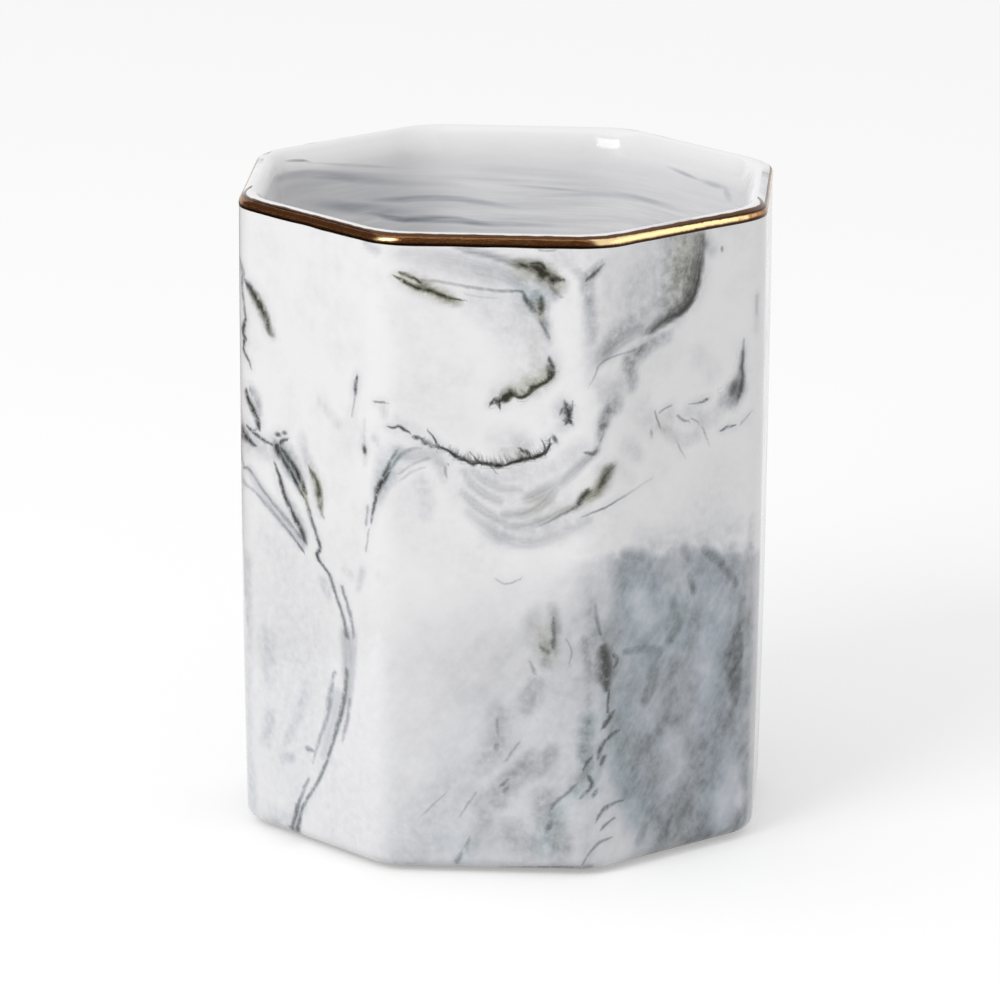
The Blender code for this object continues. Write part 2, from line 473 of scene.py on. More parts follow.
# %% Node helper
class Web:
    """Writes nodes into one tree. A value is a number, a tuple or the output of another node."""

    def __init__(self, tree):
        self.tree = tree

    def add(self, kind, inputs, **settings):
        """One node with its settings, and with its inputs set or linked."""
        node = self.tree.nodes.new(kind)
        for name, value in settings.items():
            setattr(node, name, value)
        for key, value in inputs.items():
            if isinstance(value, bpy.types.NodeSocket):
                self.tree.links.new(value, node.inputs[key])
            else:
                node.inputs[key].default_value = value
        return node

    def math(self, operation, *values, clamp=False):
        """A sum of numbers."""
        node = self.add("ShaderNodeMath", dict(enumerate(values)), operation=operation, use_clamp=clamp)
        return node.outputs[0]

    def vector(self, operation, *values):
        """A sum of vectors."""
        node = self.add("ShaderNodeVectorMath", dict(enumerate(values)), operation=operation)
        single = operation in ("DOT_PRODUCT", "DISTANCE", "LENGTH")
        return node.outputs["Value" if single else "Vector"]

    def scale(self, vector, by):
        """A vector times a number."""
        return self.add("ShaderNodeVectorMath", {0: vector, "Scale": by}, operation="SCALE").outputs["Vector"]

    def between(self, value, start, end, low=0.0, high=1.0):
        """Goes smoothly from low, at start, to high, at end."""
        inputs = {"Value": value, "From Min": start, "From Max": end, "To Min": low, "To Max": high}
        node = self.add("ShaderNodeMapRange", inputs, interpolation_type="SMOOTHSTEP", clamp=False)
        return node.outputs["Result"]

    def noise(self, place, scale, detail=2.0, rough=0.5):
        """Soft noise, from 0 to 1."""
        inputs = {"Vector": place, "Scale": scale, "Detail": detail, "Roughness": rough}
        return self.add("ShaderNodeTexNoise", inputs).outputs["Fac"]

    def around_zero(self, place, scale, detail=2.0, rough=0.5):
        """Soft noise, from -0.5 to 0.5."""
        return self.math("SUBTRACT", self.noise(place, scale, detail, rough), 0.5)

    def mix(self, share, colour, other, blend="MIX"):
        """One colour turned into another, by a share."""
        inputs = {0: share, 6: colour, 7: other}
        return self.add("ShaderNodeMix", inputs, data_type="RGBA", blend_type=blend).outputs[2]

    def bump(self, height, strength, distance):
        """The normal of a rippled surface. Its distance is in metres."""
        inputs = {"Strength": strength, "Distance": distance, "Height": height}
        return self.add("ShaderNodeBump", inputs).outputs["Normal"]

    def group(self, tree, inputs):
        """A group placed as one node."""
        return self.add("ShaderNodeGroup", inputs, node_tree=tree).outputs

    def give(self, sockets, **values):
        """Links values to the sockets of their names, with spaces written as underscores."""
        for name, value in values.items():
            self.tree.links.new(value, sockets[name.replace("_", " ")])


NUMBER, VECTOR, COLOUR = "NodeSocketFloat", "NodeSocketVector", "NodeSocketColor"


def start_group(name, vectors, numbers, **gives):
    """An empty group with named sockets: its tree, its writer, its inputs and its outputs."""
    tree = bpy.data.node_groups.new(name, "ShaderNodeTree")
    takes = {**dict.fromkeys(vectors, VECTOR), **dict.fromkeys(numbers, NUMBER)}
    for way, sockets in (("INPUT", takes), ("OUTPUT", gives)):
        for title, kind in sockets.items():
            tree.interface.new_socket(title, in_out=way, socket_type=kind)
    given = tree.nodes.new("NodeGroupInput").outputs
    result = tree.nodes.new("NodeGroupOutput").inputs
    return tree, Web(tree), given, result


def new_finish(name):
    """A material, the writer of its tree and its shader."""
    material = bpy.data.materials.new(name)
    material.use_nodes = True
    return material, Web(material.node_tree), material.node_tree.nodes["Principled BSDF"]


MM = 1000.0  # millimetres in a metre

# %% [markdown]
# ## Stage
#
# The tumbler stands on a pale floor in a pale world. Both are brighter for the eye than as lights, so the
# ground comes out nearly white and the glaze isn't washed out.

# %% Floor and world
FLOOR_SIZE = 12.0
FLOOR_COLOUR = (0.74, 0.74, 0.74, 1)
FLOOR_GLOW = 0.34
WORLD_LEVEL = 0.725


def seen_directly(web):
    """1 for rays from the camera, from mirrors and from glass, and 0 for rays that carry light."""
    path = web.add("ShaderNodeLightPath", {}).outputs
    direct = web.math("MAXIMUM", path["Is Camera Ray"], path["Is Glossy Ray"])
    return web.math("MAXIMUM", direct, path["Is Transmission Ray"])


def make_floor():
    """A large pale floor. It glows a little where it is seen directly, which takes it up to white."""
    mesh = bpy.data.meshes.new("floor")
    half = FLOOR_SIZE / 2
    corners = [(-half, -half, 0), (half, -half, 0), (half, half, 0), (-half, half, 0)]
    mesh.from_pydata(corners, [], [(0, 1, 2, 3)])
    floor = bpy.data.objects.new("floor", mesh)
    material, web, shader = new_finish("floor")
    shader.inputs["Base Color"].default_value = FLOOR_COLOUR
    shader.inputs["Roughness"].default_value = 1.0
    shader.inputs["Specular IOR Level"].default_value = 0.0
    shader.inputs["Emission Color"].default_value = (1, 1, 1, 1)
    web.give(shader.inputs, Emission_Strength=web.math("MULTIPLY", seen_directly(web), FLOOR_GLOW))
    mesh.materials.append(material)
    bpy.context.scene.collection.objects.link(floor)


def make_world():
    """A plain white world, a little dimmer as a light than as a background."""
    world = bpy.data.worlds.new("studio")
    world.use_nodes = True
    web = Web(world.node_tree)
    background = world.node_tree.nodes["Background"]
    background.inputs["Color"].default_value = (1, 1, 1, 1)
    web.give(background.inputs, Strength=web.between(seen_directly(web), 0, 1, WORLD_LEVEL, 1.0))
    bpy.context.scene.world = world


make_floor()
make_world()
print("world level as a light:", WORLD_LEVEL)

# %% [markdown]
# One soft lamp lights the tumbler from the upper left. Polished gold has no look of its own: it is dark
# wherever it mirrors something dark. Photographers hang cards for that. The cards here are seen by mirror
# reflections only, so they shape the gold and light nothing else. Two of them lie on the floor.

# %% Lamp and cards
LAMP_SIZE = 0.62
LAMP_DISTANCE = 1.25
LAMP_WATTS = 5.9
LAMP_TURN = math.radians(-40)
LAMP_RISE = math.radians(34)
CARD_DISTANCE = 2.2
CARD_BROWN = (1.0, 0.72, 0.5, 1)
CARD_WHITE = (1.0, 0.97, 0.9, 1)
FLOOR_CARD_DISTANCE = 0.62
FLOOR_CARD_HEIGHT = 0.0008
CARDS = {  # degrees to the viewer's right, degrees up, distance, width, height, colour and level
    "dark_card_front": (-12, 28, CARD_DISTANCE, 2.6, 3.2, CARD_BROWN, 0.2),
    "dark_card_left": (-100, 24, CARD_DISTANCE, 2.8, 2.8, CARD_BROWN, 0.2),
    "dark_card_low_front": (-10, 0, FLOOR_CARD_DISTANCE, 1.0, 1.1, CARD_BROWN, 0.16),
    "dark_card_low_left": (-95, 0, FLOOR_CARD_DISTANCE, 1.0, 1.1, CARD_BROWN, 0.16),
    "bright_card_right": (95, 16, CARD_DISTANCE, 2.6, 1.8, CARD_WHITE, 1.6),
}


def from_viewer(turn, rise, distance):
    """A point seen from the tumbler: turned to the viewer's right of the camera, and raised."""
    heading = CAMERA_TURN + turn
    flat = distance * math.cos(rise)
    return Vector((flat * math.sin(heading), -flat * math.cos(heading), distance * math.sin(rise)))


def face_tumbler(thing):
    """Turns a lamp or a card so that its front looks at the tumbler's middle."""
    middle = Vector((0, 0, HEIGHT / 2))
    thing.rotation_euler = (thing.location - middle).to_track_quat("Z", "Y").to_euler()


def make_lamp():
    """One soft lamp."""
    data = bpy.data.lights.new("key_lamp", "AREA")
    data.size = LAMP_SIZE
    data.energy = LAMP_WATTS
    lamp = bpy.data.objects.new("key_lamp", data)
    lamp.location = from_viewer(LAMP_TURN, LAMP_RISE, LAMP_DISTANCE)
    face_tumbler(lamp)
    bpy.context.scene.collection.objects.link(lamp)


def make_card(name, spot, width, height, colour, level, flat=False):
    """A glowing card that only mirror reflections see."""
    mesh = bpy.data.meshes.new(name)
    x, y = width / 2, height / 2
    mesh.from_pydata([(-x, -y, 0), (x, -y, 0), (x, y, 0), (-x, y, 0)], [], [(0, 1, 2, 3)])
    card = bpy.data.objects.new(name, mesh)
    card.location = spot
    if flat:
        card.rotation_euler.z = math.atan2(spot.y, spot.x)
    else:
        face_tumbler(card)
    material, web, shader = new_finish(name)
    web.tree.nodes.remove(shader)
    glow = web.add("ShaderNodeEmission", {"Color": colour, "Strength": level})
    web.give(web.tree.nodes["Material Output"].inputs, Surface=glow.outputs[0])
    mesh.materials.append(material)
    bpy.context.scene.collection.objects.link(card)
    for rays in ("camera", "diffuse", "shadow", "transmission"):
        setattr(card, f"visible_{rays}", False)


make_lamp()
for name, (turn, rise, distance, width, height, colour, level) in CARDS.items():
    spot = from_viewer(math.radians(turn), math.radians(rise), distance)
    spot.z = max(spot.z, FLOOR_CARD_HEIGHT)
    make_card(name, spot, width, height, colour, level, flat=rise == 0)
bpy.context.scene.view_settings.view_transform = "Standard"
print("cards:", list(CARDS))

# %% [markdown]
# ## The marbling, traced
#
# Each streak below is a row of points along a streak of the photograph: x and y in its
# pixels, then how wide the streak is and the grey that it reaches, from 0 to 255. Two widths in place of one
# are its reach to the left and to the right, seen along the streak: many streaks are sharp on one side and
# soft on the other. A number that is left out stays as it was at the point before. Four kinds are kept
# apart, because pigment makes four kinds of edge: lines are crisp, bands are combed along, fringes are
# combed out into hairs, and smoke has no edge at all.

# %% Streaks on the left side
LEFT_LINES_PX = (
    ((240, 258, 2, 175), (241, 265), (243, 273, 3, 160), (242, 283, 2), (243, 295), (244, 305),
     (246, 320, 2, 130)),
    ((246, 318, 2, 90), (244, 325, 3, 75), (243, 331), (246, 339, 2, 100)),
    ((244, 340), (244, 343)),
    ((243, 347, 2, 120), (245, 353), (249, 361), (251, 368, 1, 170)),
    ((241, 440, 2, 200), (242, 455), (244, 467)),
    ((245, 281, 2, 120), (249, 286, 5, 80), (253, 293, 6, 62), (258, 301, 7, 55), (262, 309),
     (266, 317, 6, 70), (268, 325, 5, 110), (270, 332, 5, 145), (274, 335, 3, 190)),
    ((357, 376), (356, 383, 3, 80), (355, 393, 3, 95)),
    ((355, 395, 2, 175), (352, 416, 2, 210)),
    ((246, 391, 3, 80), (248, 399, 4, 60), (252, 407, 5), (256, 416), (258, 423), (259, 428, 3, 90)),
    ((247, 426, 2, 130), (252, 431, 3, 90), (258, 428, 2, 100)),
    ((242, 430, 4, 80), (246, 436, 5, 50), (250, 441, 4, 60), (256, 446, 2, 120)),
    ((251, 430, 3), (258, 436), (265, 441, 3, 110), (273, 445, 2, 120)),
    ((276, 434, 3, 110), (280, 435)),
    ((283, 433, 3, 130), (286, 433)),
    ((280, 443, 4), (284, 440), (287, 439, 3, 130)),
    ((276, 446, 5, 70), (279, 453, 4, 95)),
    ((280, 447, 2, 130), (285, 453, 3, 120), (290, 461, 3, 95), (295, 468, 4, 65), (299, 476, 5, 55),
     (303, 485, 4, 60), (306, 494, 3, 100)),
    ((281, 455, 3, 120), (285, 463, 3, 110), (290, 471, 3, 90), (295, 480, 3, 75), (299, 488),
     (304, 497, 2, 120)),
    ((275, 464, 2, 120), (278, 473, 3, 90), (281, 482, 4, 80), (284, 493), (288, 503, 4, 75), (293, 514),
     (299, 525, 4, 85), (303, 535, 5, 95), (306, 543, 3, 140)),
    ((306, 498, 3, 140), (308, 507), (311, 518, 3, 130), (315, 530), (319, 542, 3, 110), (320, 549, 3, 95),
     (317, 553, 3, 75), (319, 560, 3, 90), (324, 567, 2, 120), (330, 576, 3, 140), (334, 589, 3, 150),
     (338, 601), (342, 613), (345, 625), (347, 637, 4, 165)),
    ((309, 468, 2, 150), (313, 475, 4, 105), (317, 483, 6, 85), (319, 492), (320, 501, 5, 100),
     (321, 510, 4, 150), (323, 517, 2, 195)),
    ((243, 468, 2, 170), (248, 468), (254, 476, 2, 185), (266, 494), (277, 508, 3, 190), (290, 523),
     (301, 538, 2, 170)),
    ((243, 480, 2, 200), (255, 492), (268, 507, 3, 192), (282, 523), (296, 541, 2, 170), (303, 551, 2, 120)),
    ((364, 447, 3, 110), (365, 452, 3, 95)),
    ((375, 402, 2, 150), (385, 402)),
    ((347, 671, 4, 165), (346, 685, 4, 140), (344, 700, 5, 125), (341, 715, 4), (337, 728, 4, 135),
     (333, 742, 3), (328, 758), (322, 773, 3, 145), (315, 787), (307, 799, 3, 140), (301, 812),
     (299, 822, 4, 110), (297, 834, 4, 100)),
    ((342, 587, 3, 165), (346, 600, 3, 160), (350, 613), (352, 625, 3, 165), (354, 637, 3, 190)),
    ((350, 700, 3, 195), (348, 715, 4, 175), (345, 730), (342, 742, 2, 205)),
    ((335, 672, 4, 170), (333, 678, 3, 180), (331, 692, 5, 175), (329, 705, 6, 165), (326, 720, 4, 180),
     (320, 738), (316, 750, 3, 190), (313, 763, 2, 210)),
    ((306, 748, 4, 165), (311, 750), (315, 752, 2, 190)),
    ((309, 778, 3, 175), (305, 786), (301, 797, 3, 165), (297, 810, 5, 120), (294, 822, 3, 130), (293, 833)),
    ((389, 473, 3, 130), (385, 479, 5, 90), (380, 485, 6, 55), (377, 492, 5, 60), (375, 502, 3, 95),
     (373, 512, 3, 120), (371, 523, 2, 165)),
    ((368, 506, 3, 195), (366, 525, 2, 185)),
    ((369, 530, 2, 200), (366, 550)),
)
LEFT_BANDS_PX = (
    ((250, 470, 5, 216), (262, 492, 8, 212), (284, 520, 9, 208), (302, 546, 5, 212)),
    ((346, 636, 9, 205), (348, 655, 10), (347, 674, 8, 208)),
    ((354, 636, 5, 215), (353, 660, 6, 210), (351, 682, 5, 212), (349, 702)),
    ((338, 694, 7, 216), (334, 715, 8, 213), (329, 733, 7), (323, 756, 5, 220)),
    ((281, 450, 7, 195), (287, 460, 9, 175), (294, 472, 9, 190), (301, 490, 5, 210)),
)
LEFT_SMOKE_PX = (
    ((366, 243, 5, 215), (376, 250, 6, 210)),
    ((250, 390, 5, 2, 190), (256, 402, 6, 2, 180), (259, 414, 4, 2, 195)),
    ((247, 286, 3, 205), (256, 304, 4, 190), (266, 322, 5, 185), (272, 334, 5, 205)),
    ((302, 438, 5, 225), (305, 455, 6, 212), (312, 470, 6, 205), (317, 490, 7), (319, 512, 5, 222)),
    ((274, 440, 6, 215), (284, 452, 9, 190), (292, 466, 10, 185), (300, 480, 7, 195), (304, 496, 5, 215)),
    ((246, 436, 12, 212), (262, 446, 12, 216), (276, 452, 12, 205)),
    ((278, 470, 3, 225), (287, 496, 4, 215), (297, 516, 5, 195), (303, 534, 6, 185), (305, 544, 4, 205)),
    ((328, 575, 4, 234), (340, 605, 6, 228), (348, 636, 7, 222), (348, 670, 8, 220), (344, 702, 7, 222),
     (335, 738, 6, 226), (320, 778, 6, 230), (302, 812, 6, 222)),
    ((323, 580, 5, 212), (328, 596, 5, 216)),
    ((306, 688, 7, 216), (298, 715, 7, 214), (286, 742, 6, 218)),
    ((282, 758, 8, 212), (292, 757, 8, 208)),
    ((300, 790, 14, 226), (292, 820, 12, 219), (284, 832, 9, 209)),
    ((362, 572, 5, 214), (358, 588, 4, 220)),
    ((344, 570, 4, 222), (352, 576, 4, 220)),
    ((364, 420, 2, 225), (364, 444, 2, 215), (365, 462, 3, 220)),
    ((382, 406, 6, 215), (384, 416, 5, 222)),
    ((374, 438, 4, 215), (378, 445, 3, 225)),
    ((320, 402, 5, 226), (338, 424, 5, 227)),
    ((290, 590, 52, 228), (300, 660, 48, 225), (292, 740, 44, 227), (280, 800, 38, 232)),
    ((268, 640, 12, 216), (270, 680, 10, 218)),
    ((270, 716, 9, 212), (266, 740, 8, 216)),
    ((248, 560, 6, 219), (247, 640, 5, 222), (248, 740, 5, 226), (252, 800, 6, 219)),
    ((246, 540, 30, 236), (260, 500, 26, 238)),
    ((345, 560, 60, 236), (362, 640, 40, 234), (360, 740, 40, 232), (350, 820, 50, 228)),
)
print("streaks on the left side:", len(LEFT_LINES_PX + LEFT_BANDS_PX + LEFT_SMOKE_PX))

# %% Streaks on the front side
FRONT_LINES_PX = (
    ((400, 273, 3), (406, 275, 4, 80), (413, 278, 4, 65), (420, 282, 3, 90)),
    ((394, 276, 2, 110), (402, 280, 4, 65), (410, 285, 4, 55), (418, 288, 5, 50), (427, 290),
     (436, 293, 4, 55), (446, 297, 4, 65), (455, 299, 3, 90), (464, 301, 1, 140)),
    ((420, 280, 2, 200), (436, 281, 3, 195), (452, 284, 3, 190), (468, 287, 3, 185), (484, 289, 3, 180),
     (500, 291, 3, 170), (514, 291, 3, 160), (524, 292, 3, 145)),
    ((465, 294, 2, 215), (480, 297), (496, 298, 2, 220)),
    ((540, 250, 2, 190), (548, 251, 2, 180), (556, 250, 2, 195)),
    ((521, 265, 3, 110), (528, 267, 7, 80), (537, 268, 10, 70), (544, 273, 9), (552, 277, 7, 80),
     (562, 280, 4, 110)),
    ((530, 264, 3), (540, 263, 4, 80), (545, 268)),
    ((541, 298, 5, 130), (542, 306, 6, 115), (540, 314, 5, 140)),
    ((524, 296, 4, 135), (529, 303, 5, 120), (534, 311, 5, 135)),
    ((541, 322, 3, 180), (545, 330, 4, 165), (549, 338, 3, 180)),
    ((551, 288, 4, 165), (556, 292, 4, 170), (560, 296, 3, 190)),
    ((490, 405, 3, 90), (494, 399, 3, 80), (499, 400, 4, 60), (499, 406, 3, 90)),
    ((502, 400, 7, 56), (506, 396, 11, 50), (512, 392, 9, 51), (515, 394, 4, 76)),
    ((504, 401, 4, 60), (509, 398)),
    ((515, 396, 3, 90), (520, 398, 3, 80), (525, 396), (529, 392, 4, 85), (533, 387, 6, 80), (538, 386, 4),
     (543, 383, 3, 100), (548, 380, 4, 90), (553, 375)),
    ((549, 358, 3, 110), (551, 366, 7, 65), (551, 374, 7, 60), (548, 380, 3, 90)),
    ((566, 403, 4, 102), (567, 410, 8, 67), (568, 417, 7, 64), (565, 422, 5, 82)),
    ((563, 408, 2, 90), (560, 414, 2, 120)),
    ((568, 419, 3, 60), (572, 424, 2, 110)),
    ((389, 427, 2, 130), (394, 428, 3, 90), (398, 426, 3, 50), (403, 429, 4, 70), (409, 432, 2, 110)),
    ((414, 437, 3), (418, 438)),
    ((420, 438, 2, 120), (424, 443, 4, 70), (428, 444, 2, 100)),
    ((429, 446, 1, 150), (433, 448, 1, 130)),
    ((429, 432, 2, 150), (434, 438, 2, 95), (438, 446, 3, 90)),
    ((440, 447, 2, 95), (447, 450, 2, 85), (453, 454, 3, 60), (457, 457, 5, 35), (461, 459, 3, 70),
     (465, 460, 2, 110)),
    ((464, 458, 2, 120), (469, 463, 3, 75), (474, 465, 4, 55), (478, 463, 2, 110)),
    ((477, 460, 2, 130), (482, 464, 3, 75), (487, 463, 3, 70), (491, 466, 2, 110), (496, 473, 1, 150)),
    ((491, 463, 3, 80), (495, 465, 5, 45), (499, 466, 6, 32), (503, 466, 3, 60)),
    ((504, 466, 2, 110), (510, 463, 2, 100), (515, 461, 3, 80)),
    ((514, 462, 3, 80), (520, 460, 4, 55), (525, 458, 6, 38), (530, 457, 4, 55), (533, 458, 3, 80)),
    ((533, 457, 3, 80), (537, 456, 5, 38), (541, 455, 3, 70), (545, 451, 2, 100), (544, 444, 2, 120),
     (542, 440, 1, 150)),
    ((525, 451, 3, 75), (529, 456, 4, 55)),
    ((520, 449, 1, 140), (524, 453, 2, 100)),
    ((546, 453, 3, 90), (549, 446, 2, 100), (550, 439, 2, 130)),
    ((553, 436, 2, 120), (555, 438, 3), (557, 443, 2, 140)),
    ((470, 452, 1, 160), (476, 459, 2, 110)),
    ((520, 448, 2, 120), (527, 454, 2, 80)),
    ((419, 448, 3, 205), (412, 449, 3, 195), (405, 452, 4, 180), (399, 457, 4, 170), (393, 464, 4, 165),
     (388, 471, 4, 150)),
    ((396, 452, 3, 175), (391, 460, 4, 150), (388, 468, 5, 125), (384, 476, 5, 105)),
    ((430, 458, 3, 205), (420, 461, 3, 208), (410, 466), (400, 473, 3, 205)),
    ((424, 467, 2, 210), (412, 472, 3, 208), (402, 479, 3, 212)),
    ((445, 466, 3, 180), (446, 476, 2, 190)),
    ((540, 526, 2, 205), (552, 520, 2, 190), (562, 514, 3, 170), (571, 510, 3, 145), (577, 506, 4, 110)),
    ((577, 506, 4, 110), (581, 500, 6, 85), (584, 495, 7, 75), (589, 491, 5, 100)),
    ((586, 453, 3, 150), (594, 454, 4, 140), (597, 449, 2, 160)),
    ((497, 580, 2, 200), (504, 584, 2, 195), (512, 583), (520, 579)),
    ((500, 867, 3, 175), (530, 869, 4, 150), (560, 869), (590, 867, 3, 170)),
)
CORNER_LINES_PX = (
    ((595, 606, 3, 200), (597, 620, 4, 180), (600, 634, 3, 165)),
    ((603, 646, 8, 124), (605, 655, 13, 99), (606, 668, 15, 94), (606, 680, 12, 102), (607, 690, 6, 134)),
    ((613, 655, 4, 115), (617, 661, 4, 125), (613, 668, 3, 130)),
    ((609, 692, 3, 130), (608, 702, 3, 140), (608, 712, 3, 145)),
    ((614, 712, 3, 120), (609, 719, 5, 95), (603, 727, 4, 115)),
    ((617, 731, 3, 140), (610, 736, 3, 120), (604, 742, 4, 115), (600, 750, 4, 125), (598, 758, 3, 145)),
    ((605, 756, 4, 130), (601, 764, 4, 140)),
    ((592, 757, 3, 150), (587, 763, 3, 145), (583, 770, 2, 165)),
    ((589, 777, 4, 120), (592, 785, 4, 130), (587, 792, 4, 125), (580, 798, 3, 160)),
    ((597, 790, 3, 150), (593, 796, 2, 165)),
    ((577, 783, 3, 175), (568, 793, 3, 170), (558, 800, 4, 168), (551, 808, 3, 172)),
    ((551, 823, 4, 170), (547, 830, 4, 175)),
    ((622, 800, 2, 165), (612, 804, 3, 142), (605, 808, 4, 135), (599, 816, 3, 145), (596, 821, 2, 165)),
    ((614, 818, 2, 170), (606, 824, 3, 152), (601, 830, 2, 170)),
    ((610, 838, 2, 173), (600, 842, 3, 166), (593, 849), (586, 858, 2, 176), (582, 866, 2, 188)),
    ((553, 620, 4, 180), (554, 634, 4, 165), (553, 648)),
    ((541, 647, 4, 180), (548, 652, 5, 165)),
    ((530, 662, 3, 195), (534, 672, 4, 185)),
    ((567, 640, 2, 200), (572, 652, 2, 195), (569, 664, 2, 200)),
    ((497, 722, 3, 190), (498, 734, 3, 192)),
    ((497, 744, 4, 185), (496, 749)),
    ((501, 786, 4, 170), (507, 780, 3, 175)),
    ((504, 791, 3, 180), (508, 787)),
    ((445, 794, 2, 202), (436, 802, 2, 205), (424, 814, 2, 200)),
    ((520, 742, 2, 195), (512, 752, 3, 188), (505, 762, 3, 190)),
    ((476, 792, 2, 200), (468, 804, 3, 195), (460, 816, 2, 200)),
    ((466, 847, 4, 180), (470, 838, 3, 190)),
    ((456, 862, 5, 172), (462, 853, 4, 180)),
)
FRONT_FRINGES_PX = (
    ((424, 440, 6, 3, 175), (436, 447, 8, 3, 160), (446, 450, 9, 3, 150), (456, 456, 12, 3, 130),
     (468, 461, 13, 3, 120), (480, 463, 13, 3, 115), (492, 465, 15, 3, 110), (504, 465, 16, 3, 110),
     (518, 461, 17, 3, 100), (532, 458, 15, 3, 95), (544, 454, 12, 3, 105), (552, 442, 9, 2, 130)),
    ((490, 404, 5, 3, 168), (500, 401, 8, 3, 148), (512, 396, 13, 3, 138), (524, 397, 15, 3, 143),
     (536, 388, 12, 3, 133), (548, 381, 11, 3, 138), (556, 370, 7, 2, 158)),
    ((572, 404, 5, 2, 160), (571, 412, 6, 2, 150), (566, 424, 7, 2, 150)),
)
FRONT_BANDS_PX = (
    ((464, 472, 5, 212), (472, 484, 7, 205), (484, 494, 7, 202), (500, 502, 6, 208)),
    ((462, 492, 5, 210), (474, 504, 8, 203), (488, 514, 8, 200), (504, 522, 6, 210)),
    ((472, 470, 5, 218), (484, 480, 7, 212), (500, 488, 7, 210), (520, 490, 6, 214)),
    ((502, 514, 6, 202), (520, 514, 7, 199), (536, 508, 8, 197), (548, 498, 9, 192), (556, 488, 7, 207)),
    ((505, 526, 5, 208), (524, 526, 6), (544, 520, 6, 203), (562, 512, 6, 198), (576, 506)),
    ((470, 512, 9, 214), (488, 528, 11, 210), (510, 541, 10, 208), (534, 543, 9, 211), (560, 534, 8, 218),
     (590, 520, 6, 221)),
    ((528, 500, 9, 202), (540, 494, 12, 194), (552, 487, 11, 204), (562, 480, 7, 222)),
    ((560, 484, 7, 205), (572, 474, 8, 198), (584, 462, 8, 190), (597, 450, 6, 195)),
    ((574, 508, 7, 195), (586, 498, 10, 185), (598, 490, 10, 180), (606, 478, 9), (614, 466, 6, 195)),
    ((402, 252, 6, 12, 222), (440, 256, 10, 22, 217), (474, 264, 12, 22, 212), (500, 272, 12, 18, 210),
     (522, 282, 10, 12, 200)),
    ((456, 247, 4, 195), (470, 251, 6, 178), (488, 255), (504, 260, 7, 175), (520, 265, 7, 150)),
    ((398, 452, 10, 195), (410, 456, 10, 198), (424, 456, 8, 205), (440, 460, 8, 215)),
    ((420, 284, 5, 160), (436, 293, 6, 165), (452, 301, 6, 175), (462, 303, 4, 200)),
)
